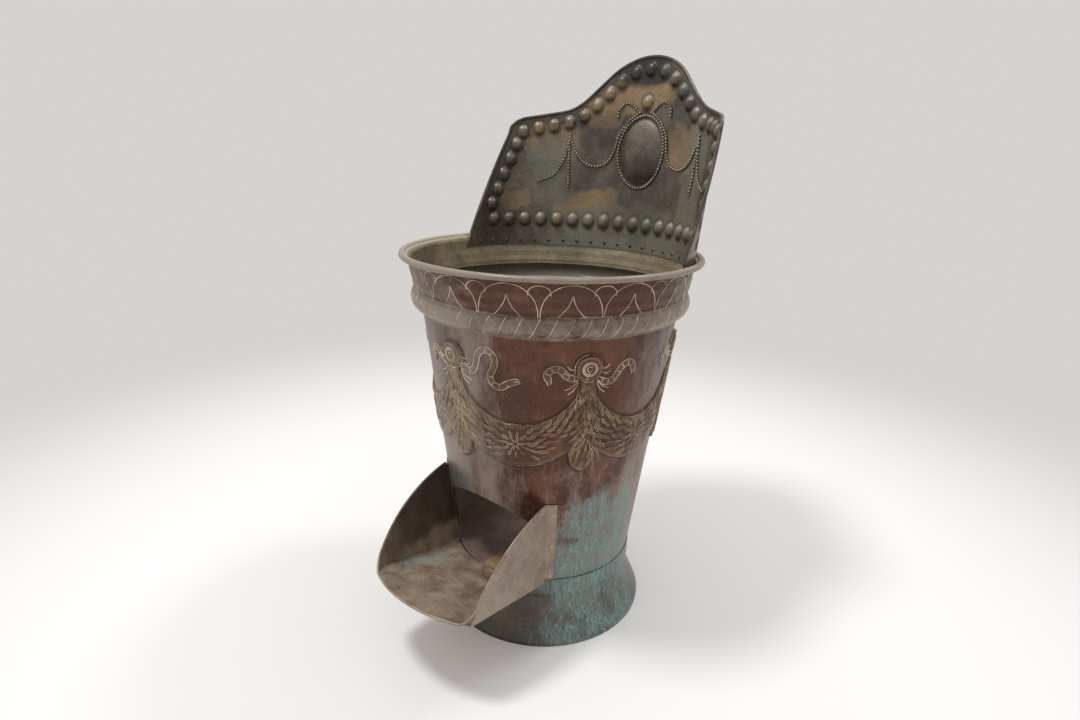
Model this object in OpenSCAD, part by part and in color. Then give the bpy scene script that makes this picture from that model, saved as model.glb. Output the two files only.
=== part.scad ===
// Sheet copper log carrier for the hearth: a tapered bin on a flared foot, with a wrap-around
// embossed back panel above the rim and a scoop-shaped tray at a low mouth in front.
// The bin's axis is Z, the floor is z = 0, and the tray faces -Y.

/* [Sheet metal] */
// Thickness of the copper sheet
sheet_t = 1.2; // [0.8:0.1:1.8]
// Clearance left between nested sheets
seat_gap = 0.1; // [0.05:0.05:0.2]

/* [Body] */
// Outer radius of the body at its lower end
body_low_r = 124; // [115:1:130]
// Height at which the taper starts
body_low_z = 91; // [88:1:100]
// Outer radius of the body at the collar's lower edge
body_top_r = 166; // [160:1:170]
// Height of the collar's lower edge
body_top_z = 430; // [400:5:450]
// Length of body sheet hidden inside the collar
body_tuck = 8; // [6:1:10]
// Width of the lap where the body sheet is closed at the back
seam_w = 14; // [10:1:20]

/* [Mouth] */
// Width of the mouth at the foot of the body
mouth_w = 144; // [110:2:146]
// Radius of the mouth's upper edge, struck from the middle of its sill
mouth_r = 114; // [100:1:118]

/* [Foot] */
// Outer radius of the foot where it stands
foot_r = 144; // [138:1:155]
// Height of the flared part
flare_h = 61; // [55:1:67]
// Height of the folded hem round the foot
hem_h = 5; // [3:0.5:8]
// Width of the folded hem's flat standing edge
hem_w = 2.4; // [2:0.1:3.5]
// Height of the strap that covers the joint between body and foot
strap_h = 21; // [18:1:23]
// Turned-down edge of the bottom plate
plate_edge = 9; // [6:1:14]

/* [Collar and rim] */
// Height from the collar's lower edge to the middle of the rim
collar_h = 70; // [66:1:80]
// Radius of the rim, to the middle of its wire
rim_r = 190; // [186:1:196]
// Radius of the iron wire inside the rim
wire_r = 2.7; // [2:0.1:3.2]
// How far the rope moulding swells out from its own middle line
rope_r = 11.2; // [10.5:0.1:12.5]
// Half the height of the rope moulding's swell
rope_half_h = 13.6; // [12:0.1:14]
// Width of the folded edge under the rope moulding
collar_hem_h = 4; // [3:0.5:4.5]

/* [Back panel] */
// Height of the panel's crown above the middle of the rim
panel_h = 253; // [235:1:290]
// Turn of the panel from the spot opposite the tray, in degrees
panel_turn = 3.5; // [0:0.5:6]
// How far the panel reaches down inside the collar
panel_tuck = 15; // [13:1:16]
// Outward lean of the panel, as rise in radius for each millimetre of height
panel_lean = 0.1; // [0.06:0.01:0.14]
// Distance from the middle of the bin to the panel's front corners
panel_front_y = 12.5; // [5:0.5:25]
// Backward rake of the panel's side edges, in degrees
side_rake = 26.7; // [22:0.1:30]
// Height from the panel's foot to its shoulder corners
shoulder_h = 168; // [150:1:180]
// Radius of the crown
crown_r = 88; // [75:1:95]
// Slope of the crown's flanks in degrees
crown_slope = 46; // [40:1:50]
// Radius of the hollow between crown and shoulder
hollow_r = 68; // [55:1:75]
// Radius of the wired roll along the panel's edge
panel_roll_r = 2.3; // [1.8:0.1:2.8]

/* [Bosses] */
// Radius of a boss at its foot
boss_r = 9; // [8:0.25:10]
// Height of a boss
boss_h = 6; // [4.5:0.25:7.5]
// Height of a boss's steep side below its dome
boss_wall = 1.8; // [1:0.1:2.5]
// Bosses in the bottom row
row_count = 19; // [15:2:21]
// Angle from the panel's middle to the last boss of the bottom row, in degrees
row_half = 70; // [60:1:72]
// Height of the bottom row above the panel's foot
row_h = 38; // [30:1:42]
// Height of the lowest edge boss above the bottom row
row_gap = 23; // [20:1:30]
// Distance from the panel's edge to the bosses that follow it
boss_inset = 17; // [15:0.5:20]
// Bosses that follow the edge on each side of the one at the crown
edge_count = 14; // [10:1:15]
// Half the height of the oval medallion
medal_high = 45; // [35:1:50]
// Half the width of the oval medallion
medal_wide = 34; // [26:1:38]
// Height of the medallion's dome
medal_dome = 9; // [6:0.5:12]
// Height of the medallion's middle above the panel's foot
medal_z = 140; // [130:1:150]

/* [Tray] */
// Angle from the tray's middle to the foot of each cheek, in degrees
cheek_turn = 39; // [36:0.5:44]
// Height of the cheeks' top where they meet the body
cheek_top_z = 209; // [206:1:225]
// Half the width of the tray at its front corners
tray_half_w = 83; // [75:1:95]
// Distance from the bin's axis to the front corners
corner_y = 238; // [215:1:260]
// Distance from the bin's axis to the middle of the lip
lip_y = 260; // [240:1:280]
// Upward slope of the floor towards the lip in degrees
floor_slope = 10.3; // [4:0.1:16]
// How far the cheeks' curved edge stands out from a straight one
cheek_bulge = 20; // [10:1:28]
// Width of the flanges riveted to the body
flange_w = 12; // [10:0.5:16]
// Radius of the wired roll along the tray's edge
tray_roll_r = 1.9; // [1.5:0.1:2.4]

/* [Rivets] */
// Radius of a rivet's shank
shank_r = 1.5; // [1.2:0.1:1.8]
// Radius of a rivet's head
head_r = 2.8; // [2.4:0.1:3.2]
// Height of a rivet's head
head_h = 1.6; // [1.2:0.1:2]
// Rivets along the panel's foot
panel_rivet_count = 23; // [15:2:25]
// Rivets in each flange of the tray
tray_rivet_count = 3; // [2:1:5]

/* [Festoons] */
// Number of rosettes and garlands round the body
festoon_count = 6; // [4:1:8]
// Turn of the first rosette from the tray's middle in degrees
festoon_turn = -6; // [-12:1:12]
// Height of the rosettes below the collar's lower edge
rosette_drop = 34; // [30:1:45]
// Radius of a rosette
rosette_r = 14.5; // [12:0.5:16]
// Height of a garland's lowest point below the rosettes
garland_drop = 130; // [100:1:135]
// Thickness of a garland at its middle
garland_w = 56; // [40:1:60]
// Height of the raised work
relief_h = 2.5; // [1.5:0.1:3.5]

/* [Hidden] */
$fn = 96;
copper = "#6e4638";
iron = "#4d4a46";
dark_copper = "#5b4c40";

taper = (body_top_r - body_low_r) / (body_top_z - body_low_z);
neck_r = body_low_r - sheet_t - seat_gap;
strap_low_z = body_low_z - strap_h;
strap_out_r = body_low_r + seat_gap + sheet_t;
body_end_z = strap_low_z + 2;
plate_top_z = body_low_z - 1;
rim_z = body_top_z + collar_h;
roll_r = wire_r + seat_gap + sheet_t;
wall_r = rim_r - roll_r - 4;
seat_z = rim_z - panel_tuck;
panel_out_r = wall_r - sheet_t - 1.1 - seat_gap;
shoulder_z = seat_z + shoulder_h;
far = 400;

// Outer radius of the body at height z
function body_r(z) = z < body_low_z ? body_low_r : body_low_r + (z - body_low_z) * taper;

// Outer radius of the panel at height z
function panel_r(z) = panel_out_r + (z - seat_z) * panel_lean;

function unit(v) = v / norm(v);
function reversed(p) = [for (i = [len(p) - 1:-1:0]) p[i]];

// Points of an arc about a centre, from one angle to another
function arc(c, r, a0, a1, n = 12) = [for (i = [0:n]) let (a = a0 + (a1 - a0) * i / n) c + r * [cos(a), sin(a)]];

// Points of a cubic curve
function curve(a, b, c, d, n = 12) =
    [for (i = [0:n]) let (s = i / n, q = 1 - s) a * q ^ 3 + b * 3 * q ^ 2 * s + c * 3 * q * s ^ 2 + d * s ^ 3];

// Direction of a line of points at point i
function along(p, i) =
    let (a = p[max(i - 1, 0)], b = p[i], c = p[min(i + 1, len(p) - 1)])
    unit((i == 0 ? unit(c - b) : unit(b - a)) + (i == len(p) - 1 ? unit(b - a) : unit(c - b)));

// A sheet's section: its outer line, listed upwards, and the same line moved in by the thickness
function sheet_section(p, t) =
    concat(p, reversed([for (i = [0:len(p) - 1]) let (d = along(p, i)) p[i] + t * [-d[1], d[0]]]));

crown_z = rim_z + panel_h;
corner_r = 17.5;
shoulder_slope = 14;

// Outline of the panel's top seen from the front, from the crown to the shoulder corner
function side_y(z) = panel_front_y + (z - seat_z) * tan(side_rake);
shoulder_x = sqrt(panel_r(shoulder_z) ^ 2 - side_y(shoulder_z) ^ 2);
corner_c = [shoulder_x - corner_r, shoulder_z];
corner_start = corner_c + corner_r * [sin(shoulder_slope), cos(shoulder_slope)];
crown_arc = [for (i = [0:8]) let (a = crown_slope * i / 8) [crown_r * sin(a), crown_z - crown_r * (1 - cos(a))]];
flank_dir = [cos(crown_slope), -sin(crown_slope)];
shoulder_dir = [cos(shoulder_slope), -sin(shoulder_slope)];
// The flank and the shoulder line meet here, and the hollow's arc rounds the meeting
meet_s = let (d = corner_start - crown_arc[8])
    (d[0] * shoulder_dir[1] - d[1] * shoulder_dir[0]) / (flank_dir[0] * shoulder_dir[1] - flank_dir[1] * shoulder_dir[0]);
meet = crown_arc[8] + flank_dir * meet_s;
hollow_cut = hollow_r * tan((crown_slope - shoulder_slope) / 2);
hollow_c = meet + shoulder_dir * hollow_cut + hollow_r * [sin(shoulder_slope), cos(shoulder_slope)];
hollow_arc = [for (i = [0:8]) let (a = crown_slope + (shoulder_slope - crown_slope) * i / 8)
    hollow_c - hollow_r * [sin(a), cos(a)]];
corner_arc = [for (i = [0:8]) let (a = shoulder_slope + (90 - shoulder_slope) * i / 8)
    corner_c + corner_r * [sin(a), cos(a)]];
top_line = concat(crown_arc, hollow_arc, corner_arc);

// Points of the panel's right edge in space, on the middle of its sheet, from the crown to the foot
function on_panel(x, z) = let (r = panel_r(z) - sheet_t / 2) [x, sqrt(r ^ 2 - x ^ 2), z];
function on_side(z) = let (r = panel_r(z) - sheet_t / 2, y = side_y(z)) [sqrt(r ^ 2 - y ^ 2), y, z];
side_steps = 16;
half_edge = concat([for (p = top_line) on_panel(p[0], p[1])],
    [for (i = [1:side_steps]) on_side(shoulder_z - (shoulder_z - rim_z - roll_r - 1) * i / side_steps)]);
function mirror_x(p) = [for (q = p) [-q[0], q[1], q[2]]];
panel_edge = concat(mirror_x(reversed(half_edge)), [for (i = [1:len(half_edge) - 1]) half_edge[i]]);

// Direction out of the bin, square to the panel, at a point on it
function outward(p) = unit([p[0], p[1], -norm([p[0], p[1]]) * panel_lean]);

// The line that the bosses along the edge follow, with the length along it up to each point
inset_line = [for (i = [0:len(half_edge) - 1])
    let (t = i == 0 ? [1, 0, 0] : along(half_edge, i)) half_edge[i] - boss_inset * unit(cross(t, outward(half_edge[i])))];
function run(p, i) = i == 0 ? 0 : run(p, i - 1) + norm(p[i] - p[i - 1]);
inset_runs = [for (i = [0:len(inset_line) - 1]) run(inset_line, i)];
function at_run(d, i = 1) = d <= inset_runs[i] || i == len(inset_line) - 1 ?
    inset_line[i - 1] + (inset_line[i] - inset_line[i - 1]) * (d - inset_runs[i - 1]) / (inset_runs[i] - inset_runs[i - 1])
    : at_run(d, i + 1);
edge_end = lookup(seat_z + row_h + row_gap,
    [for (i = [len(top_line):len(inset_line) - 1]) [inset_line[i][2], inset_runs[i]]]);

// Point on the middle of the panel's sheet, at an angle from the panel's middle
function polar(a, z) = let (r = panel_r(z) - sheet_t / 2) [r * sin(a), r * cos(a), z];
edge_bosses = [for (i = [1:edge_count]) let (p = at_run(edge_end * i / edge_count)) polar(atan2(p[0], p[1]), p[2])];
row_bosses = [for (i = [0:row_count - 1]) polar(row_half * (2 * i / (row_count - 1) - 1), seat_z + row_h)];
bow_boss = polar(0, seat_z + medal_z + medal_high + 22);
bosses = concat([polar(0, inset_line[0][2])], edge_bosses, mirror_x(edge_bosses), row_bosses, [bow_boss]);

// The height that the garlands hang from, half their span, and half the width and the margin of their raised part
hang_z = body_top_z - rosette_drop;
garland_span = body_r(hang_z - 30) * sin(180 / festoon_count);
garland_reach = garland_span * 0.9;
pad_inset = 3;

// Tray: the cheek's plane holds a straight line of the body's cone and the front corner
floor_rise = tan(floor_slope);
sill_z = body_low_z;
function floor_z(y) = sill_z + (y - body_low_r) * floor_rise;
foot_y = body_low_r * cos(cheek_turn);
cheek_foot = [body_low_r * sin(cheek_turn), -foot_y, floor_z(foot_y)];
cheek_head = [body_r(cheek_top_z) * sin(cheek_turn), -body_r(cheek_top_z) * cos(cheek_turn), cheek_top_z];
cheek_front = [tray_half_w, -corner_y, floor_z(corner_y)];
cheek_x = unit(cheek_front - cheek_foot);
cheek_n = unit(cross(cheek_x, cheek_head - cheek_foot));
cheek_y = cross(cheek_n, cheek_x);
cheek_frame = [[cheek_x[0], cheek_y[0], cheek_n[0], cheek_foot[0]],
               [cheek_x[1], cheek_y[1], cheek_n[1], cheek_foot[1]],
               [cheek_x[2], cheek_y[2], cheek_n[2], cheek_foot[2]],
               [0, 0, 0, 1]];
cheek_len = norm(cheek_front - cheek_foot);
head_2d = [(cheek_head - cheek_foot) * cheek_x, (cheek_head - cheek_foot) * cheek_y];
front_2d = [cheek_len, 0];
chord = front_2d - head_2d;
bulge_dir = unit([-chord[1], chord[0]]);
cheek_steps = 14;
cheek_curve = [for (i = [0:cheek_steps]) let (s = i / cheek_steps)
    head_2d + chord * s + bulge_dir * cheek_bulge * 4 * s * (1 - s)];
cheek_mid = sheet_t / 2;
function cheek_point(p, n) = cheek_foot + cheek_x * p[0] + cheek_y * p[1] + cheek_n * n;

// The lip is an arc in the floor's plane through both corners and the lip's middle
lip_sag = lip_y - corner_y;
lip_r = (tray_half_w ^ 2 + lip_sag ^ 2) / (2 * lip_sag);
lip_half = asin(tray_half_w / lip_r);
lip_steps = 20;
lip_line = [for (i = [0:lip_steps]) let (a = lip_half - 2 * lip_half * i / lip_steps)
    [lip_r * sin(a), -(lip_y - lip_r) - lip_r * cos(a)]];

// Path of the tray's edge roll: down the right cheek, round the lip and up the left cheek
roll_off = tray_roll_r + seat_gap;
cheek_roll = [for (i = [0:cheek_steps - 1]) let (d = along(cheek_curve, i), p = cheek_curve[i])
    cheek_point(p + roll_off * [-d[1], d[0]], -cheek_mid)];
lip_roll = [for (p = [for (i = [1:lip_steps - 1]) lip_line[i]])
    let (q = [p[0], p[1] - roll_off]) [q[0], q[1], floor_z(-q[1]) - sheet_t / 2]];
head_trim = 2;
cheek_path = [for (i = [0:cheek_steps - 1]) i == 0 ?
    cheek_roll[0] + unit(cheek_roll[1] - cheek_roll[0]) * head_trim : cheek_roll[i]];
tray_edge = concat(cheek_path, lip_roll, mirror_x(reversed(cheek_path)));

flange_turn = flange_w / body_low_r * 180 / PI;
rivet_turn = cheek_turn + flange_turn * 0.55;
rivet_low_z = body_low_z + 7;
rivet_high_z = cheek_top_z - 14;

function sides(v) = let (a = abs(v[2]) > 0.9 ? [1, 0, 0] : [0, 0, 1], x = unit(cross(a, v))) [x, cross(v, x)];

// Solid tube along a line of points, with square ends
module tube(p, r, n = 8) {
    count = len(p);
    pts = [for (i = [0:count - 1]) let (d = along(p, i), e = sides(d))
        for (k = [0:n - 1]) p[i] + r * (e[0] * cos(360 * k / n) + e[1] * sin(360 * k / n))];
    skin = [for (i = [0:count - 2], k = [0:n - 1]) let (a = i * n + k, b = i * n + (k + 1) % n)
        each [[a, a + n, b], [b, a + n, b + n]]];
    first = [for (k = [1:n - 2]) [0, k, k + 1]];
    last = [for (k = [1:n - 2]) let (o = (count - 1) * n) [o, o + k + 1, o + k]];
    polyhedron(pts, concat(skin, first, last), convexity = 10);
}

// Turns a piece drawn on +X so that +X points along v
module aim(v) {
    x = unit(v);
    e = sides(x);
    multmatrix([[x[0], e[0][0], e[1][0], 0], [x[1], e[0][1], e[1][1], 0], [x[2], e[0][2], e[1][2], 0], [0, 0, 0, 1]])
        children();
}

// A rivet along +X: its head sits at x = 0, its shank goes back through the sheets to a small tail
module rivet(grip) {
    ball = (head_r ^ 2 + head_h ^ 2) / (2 * head_h);
    rotate([0, 90, 0]) {
        intersection() {
            translate([0, 0, head_h - ball]) sphere(r = ball);
            cylinder(r = head_r + 1, h = head_h + 1);
        }
        translate([0, 0, -grip]) cylinder(r = shank_r, h = grip + 0.2);
        translate([0, 0, -grip - 0.9]) cylinder(r = head_r * 0.8, h = 0.9);
    }
}

// Everything inside the body and the strap, for cutting what seats against them
module inside_body(gap) {
    rotate_extrude()
        polygon([[0, 0], [strap_out_r + gap, 0], [strap_out_r + gap, body_low_z + gap],
                 [body_low_r + gap, body_low_z + gap], [body_r(far) + gap, far], [0, far]]);
}

module mouth_cut() {
    translate([0, 0, body_low_z]) rotate([90, 0, 0]) linear_extrude(height = far)
        intersection() {
            circle(r = mouth_r);
            translate([-mouth_w / 2, 0]) square([mouth_w, mouth_r]);
        }
}

// Positions of the tray's rivets: right side, then left
module at_tray_rivets() {
    for (side = [-1, 1], i = [0:tray_rivet_count - 1]) {
        z = rivet_low_z + (rivet_high_z - rivet_low_z) * i / (tray_rivet_count - 1);
        a = side * rivet_turn;
        r = body_r(z) + seat_gap + sheet_t;
        translate([r * sin(a), -r * cos(a), z]) aim([sin(a), -cos(a), -taper]) children();
    }
}

// Positions of the panel's rivets, with their heads inside the bin
module at_panel_rivets() {
    z = seat_z + 7;
    spread = 90 - asin(side_y(z) / panel_r(z)) - 7;
    for (i = [0:panel_rivet_count - 1]) {
        a = -spread + 2 * spread * i / (panel_rivet_count - 1);
        r = panel_r(z) - sheet_t;
        rotate([0, 0, -panel_turn]) translate([r * sin(a), r * cos(a), z]) aim([-sin(a), -cos(a), panel_lean])
            children();
    }
}

// Points of the arc through both rosettes and a point at the garland's middle, moved out by a margin
function hanging_arc(drop, margin, reach) =
    let (r = (garland_span ^ 2 + drop ^ 2) / (2 * drop), c = [0, hang_z - drop + r], q = r + margin, a = asin(reach / q))
    arc(c, q, -90 - a, -90 + a, 12);

module garland_outline() {
    polygon(concat(hanging_arc(garland_drop, -pad_inset, garland_reach),
        reversed(hanging_arc(garland_drop - garland_w, pad_inset, garland_reach - 2))));
}

module drop_outline() {
    polygon([[-4, hang_z - 8], [4, hang_z - 8], [6, hang_z - 50], [12, hang_z - 88], [12, hang_z - 106],
             [7, hang_z - 125], [-7, hang_z - 125], [-12, hang_z - 106], [-12, hang_z - 88], [-6, hang_z - 50]]);
}

// Raised work: the part of a thickened skin that lies inside an outline seen from outside the body
module raised(h, z0, z1, half_turn) {
    intersection() {
        rotate([0, 0, -90 - half_turn]) rotate_extrude(angle = 2 * half_turn)
            polygon([[body_r(z0) - sheet_t / 2, z0], [body_r(z0) + h, z0], [body_r(z1) + h, z1],
                     [body_r(z1) - sheet_t / 2, z1]]);
        translate([0, -body_low_r / 2, 0]) rotate([90, 0, 0]) linear_extrude(height = far) children();
    }
}

module festoons() {
    low_z = hang_z - garland_drop - 5;
    for (i = [0:festoon_count - 1]) {
        turn = festoon_turn + i * 360 / festoon_count;
        rotate([0, 0, turn + 180 / festoon_count]) raised(relief_h, low_z, hang_z, 32) garland_outline();
        rotate([0, 0, turn]) raised(relief_h + 0.5, low_z, hang_z, 9) drop_outline();
        rotate([0, 0, turn]) raised(relief_h + 1, hang_z - 20, hang_z + 20, 9) translate([0, hang_z]) circle(r = rosette_r);
    }
}

module body_wall() {
    color(copper) difference() {
        union() {
            rotate_extrude()
                polygon([[body_low_r - sheet_t, body_end_z], [body_low_r, body_end_z], [body_low_r, body_low_z],
                         [body_r(body_top_z + body_tuck), body_top_z + body_tuck],
                         [body_r(body_top_z + body_tuck) - sheet_t, body_top_z + body_tuck],
                         [body_low_r - sheet_t, body_low_z]]);
            festoons();
            back_lap();
        }
        mouth_cut();
        at_tray_rivets() translate([-20, 0, 0]) rotate([0, 90, 0]) cylinder(r = shank_r + seat_gap, h = 40);
    }
}

// The lap that closes the body sheet at the back
module back_lap() {
    turn = seam_w / body_low_r * 180 / PI;
    z0 = body_low_z + 2;
    z1 = body_top_z - 2;
    rotate([0, 0, 90 - turn / 2]) rotate_extrude(angle = turn)
        polygon([[body_r(z0) - sheet_t / 2, z0], [body_r(z0) + sheet_t, z0], [body_r(z1) + sheet_t, z1],
                 [body_r(z1) - sheet_t / 2, z1]]);
}

module neck_strap() {
    color(copper) {
        translate([0, 0, strap_low_z]) difference() {
            cylinder(r = strap_out_r, h = strap_h);
            translate([0, 0, -1]) cylinder(r = body_low_r + seat_gap, h = strap_h + 2);
        }
    }
}

module foot_skirt() {
    top_z = plate_top_z - sheet_t;
    flare = curve([foot_r, hem_h], [foot_r - 5, flare_h * 0.3], [neck_r + 3.5, flare_h * 0.62], [neck_r, flare_h]);
    outer = concat([[foot_r, 0]], flare, [[neck_r, top_z]]);
    color(copper) rotate_extrude() {
        polygon(sheet_section(outer, sheet_t));
        translate([foot_r - hem_w, 0]) square([hem_w, hem_h]);
    }
}

module bottom_plate() {
    edge_r = neck_r - sheet_t - seat_gap;
    color(dark_copper) rotate_extrude()
        polygon([[0, plate_top_z - sheet_t], [edge_r - sheet_t, plate_top_z - sheet_t],
                 [edge_r - sheet_t, plate_top_z - plate_edge], [edge_r, plate_top_z - plate_edge],
                 [edge_r, plate_top_z - sheet_t], [neck_r, plate_top_z - sheet_t], [neck_r, plate_top_z],
                 [0, plate_top_z]]);
}

module collar() {
    nest = seat_gap + sheet_t;
    hem_top_r = body_r(body_top_z + collar_hem_h) + nest;
    rope_c = [hem_top_r + rope_r * 0.05, body_top_z + collar_hem_h + rope_half_h];
    rope_arc = [for (p = arc([0, 0], 1, -93, 43, 17)) rope_c + [rope_r * p[0], rope_half_h * p[1]]];
    neck = rope_arc[17];
    line = concat([[body_top_r + nest, body_top_z]], rope_arc,
        [[neck[0] - 0.1, neck[1] + 5], [wall_r - 3.9, rim_z - 32], [wall_r - 3.1, rim_z - 25],
         [wall_r - 1.1, rim_z - 17], [wall_r, rim_z - 6], [wall_r + 2.2, rim_z - 1.8],
         [rim_r - wire_r - seat_gap, rim_z]]);
    color(copper) difference() {
        rotate_extrude() {
            difference() {
                polygon(sheet_section(line, sheet_t));
                translate([rim_r, rim_z]) circle(r = wire_r + seat_gap);
            }
            translate([hem_top_r - sheet_t / 2, body_top_z]) square([sheet_t * 1.5, collar_hem_h]);
            difference() {
                translate([rim_r, rim_z]) circle(r = roll_r);
                translate([rim_r, rim_z]) circle(r = wire_r + seat_gap);
                translate([rim_r - roll_r - 1, rim_z - roll_r - 1]) square([roll_r, roll_r]);
            }
        }
        at_panel_rivets() translate([-20, 0, 0]) rotate([0, 90, 0]) cylinder(r = shank_r + seat_gap, h = 22);
    }
}

module rim_wire() {
    color(iron) rotate_extrude() translate([rim_r, rim_z]) circle(r = wire_r);
}

// The panel's blank: a conical sheet
module panel_cone(r_in, z0, z1) {
    rotate_extrude()
        polygon([[r_in < 0 ? 0 : panel_r(z0) - r_in, z0], [panel_r(z0), z0], [panel_r(z1), z1],
                 [r_in < 0 ? 0 : panel_r(z1) - r_in, z1]]);
}

// Outline of the panel, as seen from the front and from the side, moved in by the roll's radius
module panel_outline() {
    off = panel_roll_r + seat_gap;
    half = [for (i = [1:len(top_line) - 1]) let (d = along(top_line, i)) top_line[i] + off * [d[1], -d[0]]];
    right = concat(half, [[far, half[len(half) - 1][1]], [far, seat_z]]);
    intersection() {
        rotate([90, 0, 0]) translate([0, 0, -far]) linear_extrude(height = far)
            polygon(concat([[0, crown_z - off]], right, reversed([for (p = right) [-p[0], p[1]]])));
        rotate([90, 0, 90]) translate([0, 0, -far]) linear_extrude(height = 2 * far)
            polygon([[side_y(seat_z) + off / cos(side_rake), seat_z],
                     [side_y(crown_z) + off / cos(side_rake), crown_z], [far, crown_z], [far, seat_z]]);
    }
}

// Solid whose inward side is the medallion's dome: an arc turned about the panel's slope
module medal_body(shrink) {
    across_r = (medal_wide ^ 2 + medal_dome ^ 2) / (2 * medal_dome);
    along_r = (medal_high ^ 2 + medal_dome ^ 2) / (2 * medal_dome);
    z = seat_z + medal_z;
    translate([0, panel_r(z) - sheet_t - medal_dome + across_r, z]) rotate([-atan(panel_lean), 0, 0])
        rotate_extrude() intersection() {
            translate([across_r - along_r, 0]) circle(r = along_r - shrink);
            translate([0, -medal_high - 10]) square([across_r, 2 * medal_high + 20]);
        }
}

// Places a piece drawn upwards from the middle of the sheet at each boss
module at_bosses() {
    for (p = bosses) translate(p) aim(-outward(p)) rotate([0, 90, 0]) children();
}

// A straight wall with a dome on it
module boss_form(r, wall, dome, root) {
    ball = (r ^ 2 + dome ^ 2) / (2 * dome);
    rotate_extrude() {
        translate([0, -root]) square([r, wall + root]);
        intersection() {
            translate([0, wall + dome - ball]) circle(r = ball);
            translate([0, wall]) square([r, dome]);
        }
    }
}

module back_panel() {
    wall = sheet_t / 2 + boss_wall;
    dome = boss_h - boss_wall;
    color(dark_copper) difference() {
        rotate([0, 0, -panel_turn]) difference() {
            union() {
                intersection() {
                    panel_cone(sheet_t, seat_z, crown_z);
                    panel_outline();
                }
                at_bosses() boss_form(boss_r, wall, dome, 0);
                intersection() {
                    panel_cone(-1, seat_z + 2, crown_z - 2);
                    medal_body(0);
                }
            }
            at_bosses() boss_form(boss_r - sheet_t, wall - 0.3, dome - sheet_t + 0.3, 4);
            medal_body(sheet_t);
        }
        at_panel_rivets() translate([-20, 0, 0]) rotate([0, 90, 0]) cylinder(r = shank_r + seat_gap, h = 40);
    }
}

module panel_edge_roll() {
    color(dark_copper) rotate([0, 0, -panel_turn]) tube(panel_edge, panel_roll_r);
}

module panel_rivets() {
    grip = sheet_t * 2 + seat_gap + 0.5;
    color(iron) at_panel_rivets() rivet(grip);
}

module cheek() {
    root = sheet_t * 0.7;
    multmatrix(cheek_frame) translate([0, 0, -sheet_t]) linear_extrude(height = sheet_t)
        polygon(concat([[-20, -root], [head_2d[0] - 20, head_2d[1]]], cheek_curve, [[cheek_len, -root]]));
}

module tray_floor() {
    back = 60;
    intersection() {
        translate([0, -body_low_r, sill_z]) rotate([-floor_slope, 0, 0])
            translate([-far / 2, -far, -sheet_t]) cube([far, far + 100, sheet_t]);
        linear_extrude(height = far)
            polygon(concat([[cheek_foot[0] - 3, -back]], lip_line, [[-cheek_foot[0] + 3, -back]]));
    }
}

module tray() {
    z0 = body_low_z + 1;
    flange_z = cheek_top_z + 2;
    root_turn = 0.6;
    color(copper) difference() {
        union() {
            difference() {
                union() {
                    tray_floor();
                    cheek();
                    mirror([1, 0, 0]) cheek();
                }
                inside_body(seat_gap);
            }
            for (side = [0, 1]) mirror([side, 0, 0]) rotate([0, 0, -90 + cheek_turn - root_turn])
                rotate_extrude(angle = flange_turn + root_turn)
                polygon([[body_r(z0) + seat_gap, z0], [body_r(z0) + seat_gap + sheet_t, z0],
                         [body_r(flange_z) + seat_gap + sheet_t, flange_z], [body_r(flange_z) + seat_gap, flange_z]]);
        }
        at_tray_rivets() translate([-20, 0, 0]) rotate([0, 90, 0]) cylinder(r = shank_r + seat_gap, h = 40);
    }
}

module tray_edge_roll() {
    color(copper) tube(tray_edge, tray_roll_r);
}

module tray_rivets() {
    grip = sheet_t * 2 + seat_gap * 2;
    color(copper) at_tray_rivets() rivet(grip);
}

body_wall();
neck_strap();
foot_skirt();
bottom_plate();
collar();
rim_wire();
back_panel();
panel_edge_roll();
panel_rivets();
tray();
tray_edge_roll();
tray_rivets();
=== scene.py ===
# %% [markdown]
# # A copper log carrier by the hearth
# The object is a tapered bin of sheet copper on a flared foot. A tall embossed panel stands behind
# its rim, and a scoop-shaped tray hangs at its low mouth. The solids give every piece its place and
# size, and this notebook adds what the hammer and the years did: raised festoons, chased lines,
# beading, and a patina that runs from red-brown to dust and verdigris.

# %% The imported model
import math
import bmesh
import bpy
import numpy as np
from mathutils import Matrix, Vector


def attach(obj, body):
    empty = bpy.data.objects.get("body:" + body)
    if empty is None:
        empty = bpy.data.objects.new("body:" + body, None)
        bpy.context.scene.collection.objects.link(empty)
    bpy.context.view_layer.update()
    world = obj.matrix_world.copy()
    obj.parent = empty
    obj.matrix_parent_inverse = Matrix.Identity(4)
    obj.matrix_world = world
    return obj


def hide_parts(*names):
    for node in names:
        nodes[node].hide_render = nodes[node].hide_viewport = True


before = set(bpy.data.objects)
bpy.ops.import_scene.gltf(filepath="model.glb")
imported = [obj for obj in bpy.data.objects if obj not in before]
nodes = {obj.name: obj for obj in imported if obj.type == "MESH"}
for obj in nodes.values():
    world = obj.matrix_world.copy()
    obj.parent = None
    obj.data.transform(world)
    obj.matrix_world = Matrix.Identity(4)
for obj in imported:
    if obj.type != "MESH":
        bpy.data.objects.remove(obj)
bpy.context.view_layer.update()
print("pieces from the solids:", len(nodes))

# %% [markdown]
# ## The camera
# The photograph looks down at the bin from a little above its rim. A camera can be nudged by eye
# until the picture looks right, but then the ornament never falls quite where the photograph has
# it. So its place, tilt and lens were worked out from the ellipses of the rim and the foot.

# %% The camera's place
CAMERA_TURN = 37.5
YAW, PITCH, ROLL = -0.7596, 18.2705, 1.4820
CAMERA_AT = (0, -0.83097, 0.627)
SENSOR = 36
FOCUS_TO_WIDTH = 640 / 1080


def add_object(name, data):
    """Puts data into the scene as an object at the origin."""
    made = bpy.data.objects.new(name, data)
    bpy.context.collection.objects.link(made)
    return made


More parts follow.
